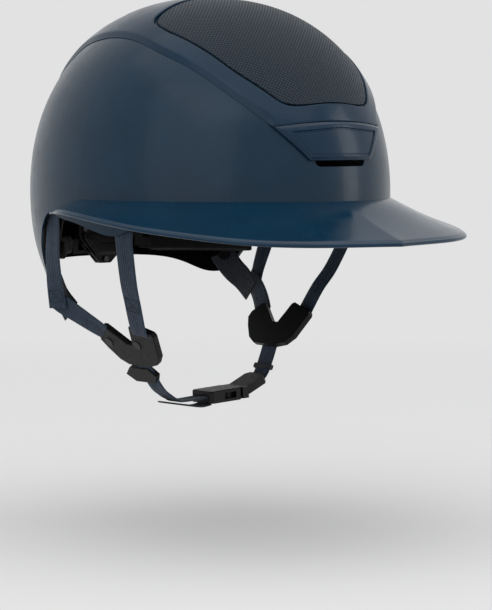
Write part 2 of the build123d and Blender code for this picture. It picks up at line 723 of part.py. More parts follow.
def sector(inner, outer, low, high, start, end):
    """Piece of an upright ring between two angles."""
    return ring_layer(inner, outer, low, high) & wedge(start, end, low, high)


def housing_prism(reach_in=60.0):
    """Prism through the V-shaped outline of the cradle's centre."""
    prism = rounded_prism(Plane.XZ, HOUSING_OUTLINE, 1.6, -200)
    return prism & (Pos(0, 150, -40) * Box(200, 2 * (150 - CRADLE_CENTRE - reach_in), 200))


def screw_cylinder(radius, start, end):
    """Cylinders along Y at each cradle screw, between two radii from the cradle's centre."""
    rods = []
    for x, z in SCREWS:
        near, far = sqrt(start**2 - x**2), sqrt(end**2 - x**2)
        face = Plane(origin=(x, CRADLE_CENTRE + near, z), z_dir=(0, 1, 0)) * Circle(radius)
        rods.append(extrude(face, amount=far - near))
    return rods


def make_housing():
    body = ring_layer(HOUSING_INNER, HOUSING_OUTER, CRADLE_LOW, CRADLE_HIGH) & housing_prism()
    for side in (LEFT, RIGHT):
        strip = sector(HOUSING_INNER, HOUSING_OUTER, -38.5, -34.5, side * 12, side * 64)
        body += strip
        body += ring_layer(HOUSING_INNER, HOUSING_OUTER, CRADLE_LOW, CRADLE_HIGH) & arm_prism(side)
    bosses = ring_layer(COVER_OUTER + 0.02, HOUSING_INNER + 0.5, CRADLE_LOW, CRADLE_HIGH)
    for rod in screw_cylinder(BOSS_RADIUS, COVER_OUTER - 3, HOUSING_OUTER):
        body += bosses & rod
    for rod in screw_cylinder(SCREW_RADIUS + 0.02, COVER_INNER - 10, HOUSING_OUTER + 2):
        body -= rod
    body -= rear_rod(SHAFT_RADIUS + RUNNING_GAP, HOUSING_INNER - 1, HOUSING_OUTER + 1)
    for side in (LEFT, RIGHT):
        body -= Pos(side * 92, PIVOT_Y, PIVOT_Z) * Rot(0, 90, 0) * Cylinder(PIVOT_RADIUS + RUNNING_GAP, 14)
    return body


def arm_prism(side):
    """Side-view outline of the arm that rises to the pivot."""
    knuckle = extrude(Plane.YZ * (Pos(PIVOT_Y, PIVOT_Z) * Circle(KNUCKLE_RADIUS)), amount=side * FAR)
    return knuckle + extrude(Plane.YZ * make_face(Polyline(*ARM_OUTLINE, close=True)), amount=side * FAR)


def rear_rod(radius, start, end):
    """Cylinder along the dial's axis between two radii from the cradle's centre."""
    plane = Plane(origin=(0, CRADLE_CENTRE + start, DIAL_Z), z_dir=(0, 1, 0))
    return extrude(plane * Circle(radius), amount=end - start)


def make_cover():
    cover = ring_layer(COVER_INNER, COVER_OUTER, CRADLE_LOW, CRADLE_HIGH) & housing_prism()
    for rod in screw_cylinder(SCREW_RADIUS + 0.02, COVER_INNER - 10, COVER_OUTER + 2):
        cover -= rod
    return cover - rear_rod(SHAFT_END_RADIUS + RUNNING_GAP, COVER_INNER - 1, COVER_OUTER + 1)


def make_screws():
    """Screws with their heads in the cover's inner face."""
    heads = screw_cylinder(SCREW_HEAD, COVER_INNER - 1.7, COVER_INNER - 0.6)
    shanks = screw_cylinder(SCREW_RADIUS, COVER_INNER - 1, HOUSING_OUTER - 0.6)
    return Compound(children=[head + shank for head, shank in zip(heads, shanks)])


def pitch_angle():
    """Angle at the cradle's centre that one rack tooth takes."""
    return degrees(pi * PINION_MODULE / ((BAND_INNER + BAND_OUTER) / 2))


def make_band(side):
    """Toothed fit band: the left one's rack runs above the pinion and the right one's below."""
    up = side
    edge = PINION_TEETH * PINION_MODULE / 2 + PINION_MODULE * 1.1
    rack = sorted((DIAL_Z + up * edge, DIAL_Z + up * (edge + RACK_HEIGHT)))
    web = sorted((DIAL_Z - up * BAND_HALF_HEIGHT, DIAL_Z + up * (edge + RACK_HEIGHT)))
    band = sector(BAND_INNER, BAND_OUTER, rack[0], rack[1], side * -12.5, side * 20)
    band += sector(BAND_INNER, BAND_OUTER, web[0], web[1], side * 17, side * 21)
    low, high = DIAL_Z - BAND_HALF_HEIGHT, DIAL_Z + BAND_HALF_HEIGHT
    band += sector(BAND_INNER, BAND_OUTER, low, high, side * 17, side * BAND_END)
    step = pitch_angle()
    tooth = sorted((DIAL_Z + up * (edge - 1.9), DIAL_Z + up * (edge + 0.2)))
    for i in range(-5, 6):
        middle = i * step
        band += sector(BAND_INNER, BAND_OUTER, tooth[0], tooth[1], middle - step * 0.17, middle + step * 0.17)
    return band


def make_pinion():
    """Small gear between the racks, with a shaft end in the cover."""
    radius = PINION_TEETH * PINION_MODULE / 2
    start, end = BAND_INNER + 0.02, BAND_OUTER - 0.02
    gear = rear_rod(radius - 1.2, start, end)
    for i in range(PINION_TEETH):
        angle = 360 * (i + 0.5) / PINION_TEETH
        tooth = Pos(0, 0, radius - 0.6) * Box(1.0, end - start, 2.4)
        gear += Pos(0, CRADLE_CENTRE + (start + end) / 2, DIAL_Z) * Rot(0, angle, 0) * tooth
    gear += rear_rod(SHAFT_END_RADIUS, COVER_INNER + 0.1, start + 0.1)
    return gear + rear_rod(SHAFT_RADIUS, end - 0.1, HOUSING_OUTER + 0.2)


def make_dial():
    """Thumb wheel with a grip of shallow flutes, on the pinion's shaft."""
    start, end = HOUSING_OUTER + 0.5, HOUSING_OUTER + 4.9
    wheel = rear_rod(DIAL_RADIUS, start, end)
    wheel = chamfer(wheel.edges(), 0.6)
    for i in range(18):
        angle = 20 * i
        flute = Pos(0, 0, DIAL_RADIUS + 0.5) * Rot(90, 0, 0) * Cylinder(1.1, 2 * (end - start))
        wheel -= Pos(0, CRADLE_CENTRE + (start + end) / 2, DIAL_Z) * Rot(0, angle, 0) * flute
    return wheel + rear_rod(SHAFT_RADIUS, HOUSING_OUTER + 0.2, start + 0.1)


def make_band_pad(side):
    return sector(PAD_INNER, PAD_OUTER, -44.3, -32, side * 24, side * 76)


def make_nape_pad():
    pad = ring_layer(COVER_INNER - 6.6, COVER_INNER - 1.6, CRADLE_LOW, CRADLE_HIGH)
    return pad & rounded_prism(Plane.XZ, NAPE_PAD, 1.0, -FAR)


def make_pivot_pins():
    pin = Rot(0, 90, 0) * Cylinder(PIVOT_RADIUS, 9.6)
    return Compound(children=[Pos(side * 91, PIVOT_Y, PIVOT_Z) * pin for side in (LEFT, RIGHT)])


def main():
    write("outer_shell", make_shell())
    write("impact_liner", make_liner())
    write("brim", make_brim())
    write("crown_panel", make_panel())
    write("front_mesh", make_mesh(mesh_prism(MESH_INSET)))
    write("rear_mesh", make_mesh(rear_mesh_prism(MESH_INSET)))
    write("front_badge", make_badge())
    write("crown_pad", make_crown_pad())
    write("brow_pad", make_brow_pad())
    write("rear_pad", make_rear_pad())
    write("strap_anchor_rivets", make_anchor_rivets())
    write("divider_rivets", make_divider_rivets())
    for side, word in ((LEFT, "left"), (RIGHT, "right")):
        write(f"side_pad_{word}", make_side_pad(side))
        write(f"lobe_lining_{word}", make_lobe_lining(side))
        write(f"front_strap_{word}", make_front_strap(side))
        write(f"rear_strap_{word}", make_rear_strap(side))
        write(f"rear_link_{word}", make_rear_link(side))
        write(f"neck_strap_{word}", make_neck_strap(side))
        write(f"strap_divider_{word}", make_divider(side))
        write(f"fit_band_{word}", make_band(side))
        write(f"band_pad_{word}", make_band_pad(side))
    write("chin_strap_right", chin_webbing(RIGHT_CHIN))
    write("chin_strap_left", chin_webbing(LEFT_CHIN))
    write("strap_slider", make_slider())
    write("buckle_female", make_female())
    write("buckle_male", make_male())
    write("buckle_tab_front", make_tab(RIGHT))
    write("buckle_tab_rear", make_tab(LEFT))
    write("strap_tail", make_strap_tail())
    write("strap_keeper", make_keeper())
    write("cradle_housing", make_housing())
    write("cradle_cover", make_cover())
    write("cradle_screws", make_screws())
    write("dial_pinion", make_pinion())
    write("dial_knob", make_dial())
    write("nape_pad", make_nape_pad())
    write("cradle_pivot_pins", make_pivot_pins())


main()
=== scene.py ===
"""Looks of a wide-brimmed riding helmet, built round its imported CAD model.

Frame: metres, +Z up, the wearer faces -Y and their left hand is towards +X.
Shape values are named in millimetres and turned into metres where a mesh is made.
"""

import math

import bmesh
import bpy
import numpy as np
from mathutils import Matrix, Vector, noise
from mathutils.geometry import delaunay_2d_cdt
from mathutils.kdtree import KDTree


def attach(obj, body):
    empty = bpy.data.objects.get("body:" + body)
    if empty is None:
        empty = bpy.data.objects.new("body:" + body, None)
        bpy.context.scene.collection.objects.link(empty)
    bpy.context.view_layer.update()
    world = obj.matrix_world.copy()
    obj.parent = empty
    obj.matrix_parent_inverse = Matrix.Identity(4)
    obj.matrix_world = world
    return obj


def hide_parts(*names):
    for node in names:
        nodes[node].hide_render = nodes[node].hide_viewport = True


MM = 0.001
LEFT = 1
RIGHT = -1
SIDE_WORDS = ((LEFT, "left"), (RIGHT, "right"))

# The shell's surface, as in the CAD model.
HALF_WIDTH = 114.0
FRONT = 138.0
REAR = 144.0
HEIGHT = 134.5
POWER = 2.19
LOWER_AXIS = 140.0

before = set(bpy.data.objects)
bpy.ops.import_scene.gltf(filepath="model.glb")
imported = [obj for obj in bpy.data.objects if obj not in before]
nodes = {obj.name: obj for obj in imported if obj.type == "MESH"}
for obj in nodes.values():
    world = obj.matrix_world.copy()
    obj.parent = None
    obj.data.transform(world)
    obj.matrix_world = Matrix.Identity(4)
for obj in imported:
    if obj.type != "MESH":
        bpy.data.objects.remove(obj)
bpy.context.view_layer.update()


# --- Materials --------------------------------------------------------------
class Material:
    """A Principled material with a few helpers for its procedural inputs."""

    def __init__(self, name, colour, roughness, metallic=0.0, coat=0.0, sheen=0.0):
        self.material = bpy.data.materials.new(name)
        self.material.use_nodes = True
        self.tree = self.material.node_tree
        self.shader = self.tree.nodes["Principled BSDF"]
        self.set("Base Color", (*colour, 1.0))
        self.set("Roughness", roughness)
        self.set("Metallic", metallic)
        self.set("Coat Weight", coat)
        self.set("Coat Roughness", 0.04)
        self.set("Sheen Weight", sheen)
        self.place = self.add("ShaderNodeTexCoord").outputs["Object"]
        self.heights = []

    def set(self, socket, value):
        self.shader.inputs[socket].default_value = value

    def add(self, kind, **values):
        node = self.tree.nodes.new(kind)
        for name, value in values.items():
            if name in node.inputs:
                node.inputs[name].default_value = value
            else:
                setattr(node, name, value)
        return node

    def join(self, output, socket):
        self.tree.links.new(output, socket)
        return socket.node

    def math(self, operation, first, second=0.0):
        node = self.add("ShaderNodeMath", operation=operation)
        for socket, value in zip(node.inputs, (first, second)):
            if isinstance(value, (int, float)):
                socket.default_value = value
            else:
                self.join(value, socket)
        return node.outputs[0]

    def noise(self, scale, detail=4.0, rough=0.6, place=None):
        node = self.add("ShaderNodeTexNoise", Scale=scale, Detail=detail, Roughness=rough)
        self.join(place or self.place, node.inputs["Vector"])
        return node.outputs["Fac"]

    def ramp(self, value, low, high, start, end):
        """Map value from low..high to start..end, held at both ends."""
        node = self.add("ShaderNodeMapRange")
        self.join(value, node.inputs["Value"])
        for name, number in (("From Min", low), ("From Max", high), ("To Min", start), ("To Max", end)):
            node.inputs[name].default_value = number
        return node.outputs["Result"]

    def mix(self, factor, first, second):
        """Colour between two, each a colour or an output."""
        node = self.add("ShaderNodeMix", data_type="RGBA")
        self.join(factor, node.inputs["Factor"])
        for socket, value in ((node.inputs[6], first), (node.inputs[7], second)):
            if isinstance(value, tuple):
                socket.default_value = (*value, 1.0)
            else:
                self.join(value, socket)
        return node.outputs[2]

    def colour(self, output):
        self.join(output, self.shader.inputs["Base Color"])

    def rough(self, output):
        self.join(output, self.shader.inputs["Roughness"])

    def bump(self, height, distance, strength=1.0):
        """Add one height pattern; later patterns lie on earlier ones."""
        node = self.add("ShaderNodeBump", Strength=strength, Distance=distance)
        self.join(height, node.inputs["Height"])
        if self.heights:
            self.join(self.heights[-1], node.inputs["Normal"])
        self.heights.append(node.outputs["Normal"])
        target = self.shader.inputs["Normal"]
        self.join(node.outputs["Normal"], target)


MESH_PITCH = 2.6 * MM
KNIT_PITCH = 0.9 * MM
PIPING_PITCH = 0.5 * MM
PICKS_PER_MM = 0.95
SLOPE = math.sqrt(0.5)
INNER_COLOUR = (0.0015, 0.0015, 0.0018)
INNER_SHARE = 0.978
INNER_TOP = 12 * MM


def inner_face(m):
    """1 on the shell's inner face below the liner, and 0 outside, from the place in the dome."""
    split = m.add("ShaderNodeSeparateXYZ")
    m.join(m.place, split.inputs[0])
    x, y, z = split.outputs
    depth = m.ramp(m.math("GREATER_THAN", y, 0.0), 0, 1, FRONT * MM, REAR * MM)
    across = m.math("POWER", m.math("ABSOLUTE", m.math("DIVIDE", x, HALF_WIDTH * MM)), 2.0)
    along = m.math("POWER", m.math("ABSOLUTE", m.math("DIVIDE", y, depth)), 2.0)
    down = m.math("MINIMUM", m.math("DIVIDE", z, LOWER_AXIS * MM), 0.0)
    share = m.math("ADD", m.math("ADD", across, along), m.math("MULTIPLY", down, down))
    return m.math("MULTIPLY", m.math("LESS_THAN", share, INNER_SHARE), m.math("LESS_THAN", z, INNER_TOP))


def gloss_material(name, colour, light, roughness, lined=False):
    """Lacquered shell plastic with faint mottling, dust and wipe marks, and black inside where it's lined."""
    m = Material(name, colour, roughness, coat=0.07)
    m.set("Specular IOR Level", 0.22)
    lacquer = m.mix(m.ramp(m.noise(35, 3), 0.35, 0.7, 0, 1), colour, light)
    m.colour(m.mix(inner_face(m), lacquer, INNER_COLOUR) if lined else lacquer)
    haze = m.ramp(m.noise(60, 5, 0.7), 0.4, 0.75, 0.0, 0.1)
    specks = m.ramp(m.noise(1400, 2), 0.68, 0.78, 0.0, 0.16)
    m.rough(m.math("ADD", m.math("ADD", haze, specks), roughness))
    m.bump(m.noise(90, 2), 0.00006, 0.25)
    return m.material


def plastic_material(name, colour, light, roughness):
    """Moulded plastic with a fine spark-eroded grain."""
    m = Material(name, colour, roughness)
    m.set("Specular IOR Level", 0.2)
    m.colour(m.mix(m.ramp(m.noise(120, 4), 0.35, 0.7, 0, 1), colour, light))
    m.rough(m.ramp(m.noise(300, 4), 0.3, 0.7, roughness - 0.07, roughness + 0.09))
    m.bump(m.noise(2600, 3), 0.0001, 0.5)
    return m.material


def fabric_material(name, colour, light, pitch):
    """Knitted wicking lining: small rounded stitches with fuzz."""
    m = Material(name, colour, 0.92, sheen=0.08)
    m.set("Specular IOR Level", 0.15)
    m.set("Sheen Roughness", 0.5)
    cells = m.add("ShaderNodeTexVoronoi", Scale=1 / pitch)
    m.join(m.place, cells.inputs["Vector"])
    knit = cells.outputs["Distance"]
    fuzz = m.noise(900, 5)
    # Colour: stitch tops painted lighter and the gaps between stitches painted darker, as painted highlight
    # and shade, varied at random by the fuzz.
    m.colour(m.mix(m.math("MULTIPLY", knit, fuzz), light, colour))
    m.bump(knit, -0.0004, 0.6)
    m.bump(fuzz, 0.0002, 0.4)
    return m.material


def foam_material(name):
    """Expanded foam: crushed beads with thin seams between them."""
    m = Material(name, (0.028, 0.028, 0.03), 0.8)
    beads = m.add("ShaderNodeTexVoronoi", Scale=330, feature="DISTANCE_TO_EDGE")
    m.join(m.place, beads.inputs["Vector"])
    edge = m.ramp(beads.outputs["Distance"], 0.0, 0.12, 0, 1)
    m.colour(m.mix(edge, (0.012, 0.012, 0.013), (0.035, 0.035, 0.037)))
    m.bump(edge, 0.0003, 0.6)
    return m.material


def webbing_material(name, dark, light, ribs):
    """Woven webbing: lengthwise ribs crossed by fine picks; u runs along it and v across, in millimetres."""
    m = Material(name, dark, 0.62, sheen=0.12)
    m.set("Specular IOR Level", 0.25)
    m.set("Sheen Roughness", 0.4)
    split = m.add("ShaderNodeSeparateXYZ")
    m.join(m.add("ShaderNodeUVMap").outputs["UV"], split.inputs[0])
    along, across = split.outputs[0], split.outputs[1]
    rib = m.math("SINE", m.math("MULTIPLY", across, 2 * math.pi * ribs))
    row = m.math("ROUND", m.math("MULTIPLY", across, ribs * 2))
    shift = m.math("MULTIPLY", m.math("MODULO", row, 2.0), 0.5)
    turns = m.math("ADD", m.math("MULTIPLY", along, PICKS_PER_MM), shift)
    pick = m.math("SINE", m.math("MULTIPLY", turns, 2 * math.pi))
    weave = m.math("MULTIPLY", m.math("ADD", rib, m.math("MULTIPLY", pick, 0.55)), 0.4)
    level = m.math("ADD", weave, 0.5)
    # Colour follows the weave's height: painted highlight on the raised ribs and picks, painted shade in the
    # grooves, plus a random tone from noise.
    weave_shade_and_tone = m.math("ADD", level, m.ramp(m.noise(150, 4), 0.3, 0.7, -0.2, 0.2))
    m.colour(m.mix(m.ramp(weave_shade_and_tone, 0.1, 1.0, 0, 1), dark, light))
    m.rough(m.ramp(m.noise(500, 3), 0.3, 0.7, 0.5, 0.75))
    m.bump(level, 0.00028, 0.75)
    m.bump(m.noise(3500, 3), 0.00008, 0.5)
    return m.material


def mesh_material(name, dark, light, pitch, lean):
    """Pressed vent mesh: a diamond grid of small raised dots, laid out on a plane that leans fore or aft."""
    m = Material(name, dark, 0.4)
    m.set("Specular IOR Level", 0.3)
    split = m.add("ShaderNodeSeparateXYZ")
    m.join(m.place, split.inputs[0])
    x, y, z = split.outputs
    slope = m.math("MULTIPLY", m.math("ADD", y, m.math("MULTIPLY", z, lean)), SLOPE)
    u = m.math("MULTIPLY", x, 2 * math.pi / pitch)
    v = m.math("MULTIPLY", slope, 2 * math.pi / pitch)
    first = m.math("COSINE", m.math("ADD", u, v))
    second = m.math("COSINE", m.math("SUBTRACT", u, v))
    dots = m.math("MULTIPLY", m.math("ADD", first, second), 0.5)
    raised = m.ramp(dots, -0.1, 0.75, 0, 1)
    # Colour: the raised dots painted lighter and the ground between them darker, as painted highlight and
    # shade, dimmed at random by noise.
    tone = m.math("MULTIPLY", raised, m.ramp(m.noise(45, 3), 0.3, 0.7, 0.75, 1.0))
    m.colour(m.mix(tone, dark, light))
    m.rough(m.ramp(raised, 0, 1, 0.6, 0.3))
    m.bump(raised, 0.0005, 0.9)
    return m.material


def steel_material(name):
    """Dull plated steel with fine turning marks."""
    m = Material(name, (0.045, 0.045, 0.048), 0.4, metallic=1.0)
    m.rough(m.ramp(m.noise(700, 4), 0.3, 0.7, 0.28, 0.5))
    m.bump(m.noise(1800, 2), 0.00005, 0.4)
    return m.material


SHELL = gloss_material("shell_lacquer", (0.003, 0.02, 0.041), (0.004, 0.024, 0.048), 0.24, lined=True)
PANEL = gloss_material("panel_lacquer", (0.002, 0.018, 0.041), (0.003, 0.022, 0.048), 0.22)
BRIM = gloss_material("brim_lacquer", (0.0005, 0.02, 0.045), (0.001, 0.025, 0.055), 0.14)
MESH_DARK = (0.0015, 0.006, 0.013)
MESH_LIGHT = (0.012, 0.037, 0.064)
VENT_MESH = mesh_material("vent_mesh", MESH_DARK, MESH_LIGHT, MESH_PITCH, 1)
REAR_VENT_MESH = mesh_material("rear_vent_mesh", MESH_DARK, MESH_LIGHT, MESH_PITCH, -1)
PLASTIC = plastic_material("charcoal_plastic", (0.0035, 0.0036, 0.0038), (0.006, 0.0062, 0.0065), 0.45)
RIVET = plastic_material("rivet_plastic", (0.02, 0.02, 0.021), (0.03, 0.03, 0.031), 0.35)
SOFT_PLASTIC = plastic_material("cradle_plastic", (0.002, 0.002, 0.0022), (0.0035, 0.0035, 0.0038), 0.55)
WEBBING = webbing_material("harness_webbing", (0.006, 0.014, 0.028), (0.028, 0.048, 0.08), 0.62)
NECK_WEBBING = webbing_material("neck_webbing", (0.006, 0.008, 0.013), (0.022, 0.028, 0.04), 0.5)
ELASTIC = webbing_material("elastic_band", (0.008, 0.009, 0.012), (0.03, 0.033, 0.04), 0.9)
PADDING = fabric_material("lining_knit", (0.0018, 0.0018, 0.002), (0.009, 0.009, 0.0095), KNIT_PITCH)
FOAM = foam_material("liner_foam")
STEEL = steel_material("plated_steel")
PIPING = fabric_material("pad_piping", (0.006, 0.006, 0.0065), (0.02, 0.02, 0.021), PIPING_PITCH)
THREAD = plastic_material("thread", (0.03, 0.035, 0.045), (0.05, 0.055, 0.07), 0.7)

CAD_FINISH = {
    "outer_shell": SHELL, "impact_liner": FOAM, "strap_anchor_rivets": STEEL, "divider_rivets": RIVET,
    "strap_divider_left": PLASTIC, "strap_divider_right": PLASTIC, "strap_slider": PLASTIC,
    "buckle_female": PLASTIC, "buckle_male": PLASTIC, "buckle_tab_front": PLASTIC, "buckle_tab_rear": PLASTIC,
    "cradle_housing": SOFT_PLASTIC, "cradle_cover": SOFT_PLASTIC, "cradle_screws": STEEL,
    "cradle_pivot_pins": STEEL, "dial_pinion": SOFT_PLASTIC, "dial_knob": SOFT_PLASTIC,
    "fit_band_left": SOFT_PLASTIC, "fit_band_right": SOFT_PLASTIC, "front_mesh": VENT_MESH,
    "rear_mesh": REAR_VENT_MESH,
}


def finish_cad_nodes():
    """Give each CAD node that stays in view its material."""
    for name, material in CAD_FINISH.items():
        mesh = nodes[name].data
        mesh.materials.clear()
        mesh.materials.append(material)


# --- Mesh helpers -------------------------------------------------------------
SPLINE_STEPS = 24


def new_piece(name, points, faces, material, body="root", uvs=None):
    """Mesh piece from points in millimetres, riding on a CAD body."""
    mesh = bpy.data.meshes.new(name)
    mesh.from_pydata([tuple(float(c) * MM for c in p) for p in points], [], faces)
    mesh.materials.append(material)
    if uvs is not None:
        layer = mesh.uv_layers.new(name="UVMap")
        for loop in mesh.loops:
            layer.data[loop.index].uv = uvs[loop.vertex_index]
    mesh.validate()
    clean = bmesh.new()
    clean.from_mesh(mesh)
    bmesh.ops.recalc_face_normals(clean, faces=clean.faces)
    clean.to_mesh(mesh)
    clean.free()
    mesh.shade_smooth()
    piece = bpy.data.objects.new(name, mesh)
    bpy.context.scene.collection.objects.link(piece)
    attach(piece, body)
    return piece


def sharpen(piece, degrees):
    """Keep edges sharper than an angle crisp under smooth shading."""
    piece.data.set_sharp_from_angle(angle=math.radians(degrees))


def strip_faces(columns, ring):
    """Quads round a row of closed rings of points."""
    faces = []
    for i in range(columns - 1):
        for k in range(ring):
            a, b = i * ring + k, i * ring + (k + 1) % ring
            faces.append((a, b, b + ring, a + ring))
    return faces


def capped_faces(columns, ring):
    """Quads round a row of closed rings, with both ends closed."""
    ends = [tuple(range(ring)), tuple(reversed(range((columns - 1) * ring, columns * ring)))]
    return strip_faces(columns, ring) + ends


def smooth_line(points, count):
    """Smooth spline through points, sampled evenly by share of its length."""
    points = np.array(points, float)
    padded = np.vstack([2 * points[0] - points[1], points, 2 * points[-1] - points[-2]])
    samples = []
    for i in range(1, len(padded) - 2):
        a, b, c, d = padded[i - 1 : i + 3]
        for t in np.linspace(0, 1, SPLINE_STEPS, endpoint=False):
            square, cube = 2 * a - 5 * b + 4 * c - d, 3 * b - a - 3 * c + d
            samples.append(0.5 * (2 * b + (c - a) * t + square * t**2 + cube * t**3))
    samples.append(padded[-2])
    samples = np.array(samples)
    travelled = np.concatenate([[0], np.cumsum(np.linalg.norm(np.diff(samples, axis=0), axis=1))])
    wanted = np.linspace(0, travelled[-1], count)
    return np.stack([np.interp(wanted, travelled, samples[:, k]) for k in range(samples.shape[1])], axis=1)


# --- Surfaces of the shell and the liner's hollow ---------------------------------
LINER_BORE = (90.6, 106.6, 112.6, 106.6)
LINING_DEPTH = 3.4
LINING_FACE = tuple(size - LINING_DEPTH for size in (HALF_WIDTH, FRONT, REAR, HEIGHT))


def share_at(z, height):
    """Share of a dome's full plan size at a height."""
    if z >= 0:
        return max(1 - (z / height) ** POWER, 0) ** (1 / POWER)
    return math.sqrt(1 - (z / LOWER_AXIS) ** 2)


def dome_normal(point, size):
    """Outward direction of a dome at a point on it."""
    side, front, rear, height = size
    depth = rear if point.y > 0 else front
    if point.z >= 0:
        plan = max(math.hypot(point.x / side, point.y / depth), 1e-6)
        steep = plan ** (POWER - 2)
        up = (point.z / height) ** (POWER - 1) / height
        return Vector((point.x / side**2 * steep, point.y / depth**2 * steep, up)).normalized()
    return Vector((point.x / side**2, point.y / depth**2, point.z / LOWER_AXIS**2)).normalized()


def on_dome_round(angle, z, size):
    """Point of a dome at a plan angle, 0 at the front and growing towards the left, and a height."""
    side, front, rear, height = size
    share = share_at(z, height)
    depth = rear if math.cos(angle) < 0 else front
    return Vector((side * share * math.sin(angle), -depth * share * math.cos(angle), z))


# --- Skins: crown panel and badge ---------------------------------------------------
PANEL_RISE = 2.4
SKIN_GAP = 0.15
PANEL_EDGE = [(46, -50.9), (56, -34.9), (66, -12.4), (75, 21.9), (77.2, 50), (71, 94.7), (60, 122.3)]
PANEL_REAR_EDGE = [(60, 0), (57.5, -14), (51, -32), (39, -49), (22, -61), (0, -66)]
MESH_EDGE = [
    (0, 91.5), (31, 87.3), (52, 79), (61.5, 71), (65.4, 56), (65.2, 40.8), (61.9, 17.5),
    (55.5, -7.4), (45, -27.8), (36, -40), (24, -44.2), (0, -44.9),
]
REAR_MESH_EDGE = [(0, 34), (46, 37), (49, 46), (42, 82), (34, 102), (0, 105)]
PANEL_CHAMFER = 4.0
PANEL_LIP = 0.7
BADGE_TIP = (46.0, 47.0)
BADGE_CROWN = 50.3
BADGE_FOOT = (26.0, 25.5)
BADGE_CLEAR = 0.45
BADGE_LOW = 1.0
BADGE_HIGH = 3.6
BADGE_RECESS = 1.0
BADGE_FACET = 2.2
BADGE_CORNER_STEPS = 20
LOOP_SPACING = 1.6
BADGE_SPACING = 0.8
FAR = 260.0
DISC_MM = 190
DISC_LIMIT = 0.98
ROW_CLEARANCE = 0.3
FINDER_SPACING = 0.4
SKIN_CREASE = 17
BADGE_INSET = [(-25, 28.5), (25, 28.5), (36, 43.8), (0, 46.6), (-36, 43.8)]


def grown(grow):
    """Sizes of the shell's dome moved out by grow."""
    return (HALF_WIDTH + grow, FRONT + grow, REAR + grow, HEIGHT + grow)


def on_dome_along(direction, grow):
    """Point of the shell's surface, moved out by grow, in an upward direction from the origin."""
    side, front, rear, height = grown(grow)
    plan = math.hypot(direction.x / side, direction.y / (rear if direction.y > 0 else front))
    if direction.z >= 0:
        return direction * (plan**POWER + (direction.z / height) ** POWER) ** (-1 / POWER)
    return direction / math.sqrt(plan**2 + (direction.z / LOWER_AXIS) ** 2)


def drop_onto_dome(start, direction):
    """Point of the shell's surface met by a line from inside it."""
    near, far = 0.0, FAR
    for _ in range(40):
        middle = (near + far) / 2
        point = start + direction * middle
        if on_dome_along(point.normalized(), 0).length > point.length:
            near = middle
        else:
            far = middle
    return start + direction * near


def from_slope(points, lean):
    """Points given as (x, distance up a 45 degree slope), dropped onto the shell; lean -1 is in front."""
    out = Vector((0, lean * SLOPE, SLOPE))
    up = Vector((0, -lean * SLOPE, SLOPE))
    placed = []
    for x, d in points:
        start = Vector((x, 0, 0)) + up * d
        inside = 0 if on_dome_along(start.normalized(), 0).length > start.length else -40
        placed.append(drop_onto_dome(start + out * inside, out))
    return placed


def from_front(points):
    """Points given as (x, z) in front view, dropped onto the front of the shell."""
    return [drop_onto_dome(Vector((x, 0, z)), Vector((0, -1, 0))) for x, z in points]


def from_above(points):
    """Points given as (x, y) in plan, dropped onto the top of the shell."""
    return [drop_onto_dome(Vector((x, y, 0)), Vector((0, 0, 1))) for x, y in points]


def both_halves(half):
    """Closed loop from its right-hand half, which runs from x = 0 to x = 0."""
    return half + [Vector((-p.x, p.y, p.z)) for p in reversed(half[1:-1])]


def evenly(points, spacing, closed=False):
    """Points spaced along a polyline."""
    line = np.array([tuple(p) for p in points] + ([tuple(points[0])] if closed else []))
    travelled = np.concatenate([[0], np.cumsum(np.linalg.norm(np.diff(line, axis=0), axis=1))])
    count = max(int(round(travelled[-1] / spacing)), 2)
    wanted = np.linspace(0, travelled[-1], count + 1)
    spaced = np.stack([np.interp(wanted, travelled, line[:, k]) for k in range(3)], axis=1)
    return [Vector(p) for p in (spaced[:-1] if closed else spaced)]


def to_disc(p):
    """Stereographic flat place of a point's direction from the origin."""
    d = p.normalized()
    return Vector((d.x / (1 + d.z), d.y / (1 + d.z)))


def from_disc(q):
    """Direction from the origin that a flat place stands for."""
    level = q.length_squared
    return Vector((2 * q.x, 2 * q.y, 1 - level)) / (1 + level)


def loop_rows(loop, offsets):
    """Rows of points inside a closed loop on the shell, or outside it for negative offsets."""
    size = grown(0)
    flat = [to_disc(p) for p in loop]
    area = sum(a.x * b.y - b.x * a.y for a, b in zip(flat, flat[1:] + flat[:1]))
    turn = 1 if area > 0 else -1
    rows = []
    for amount in offsets:
        for i, p in enumerate(loop):
            run = (loop[(i + 1) % len(loop)] - loop[i - 1]).normalized()
            rows.append(p + dome_normal(p, size).cross(run) * turn * amount)
    return rows


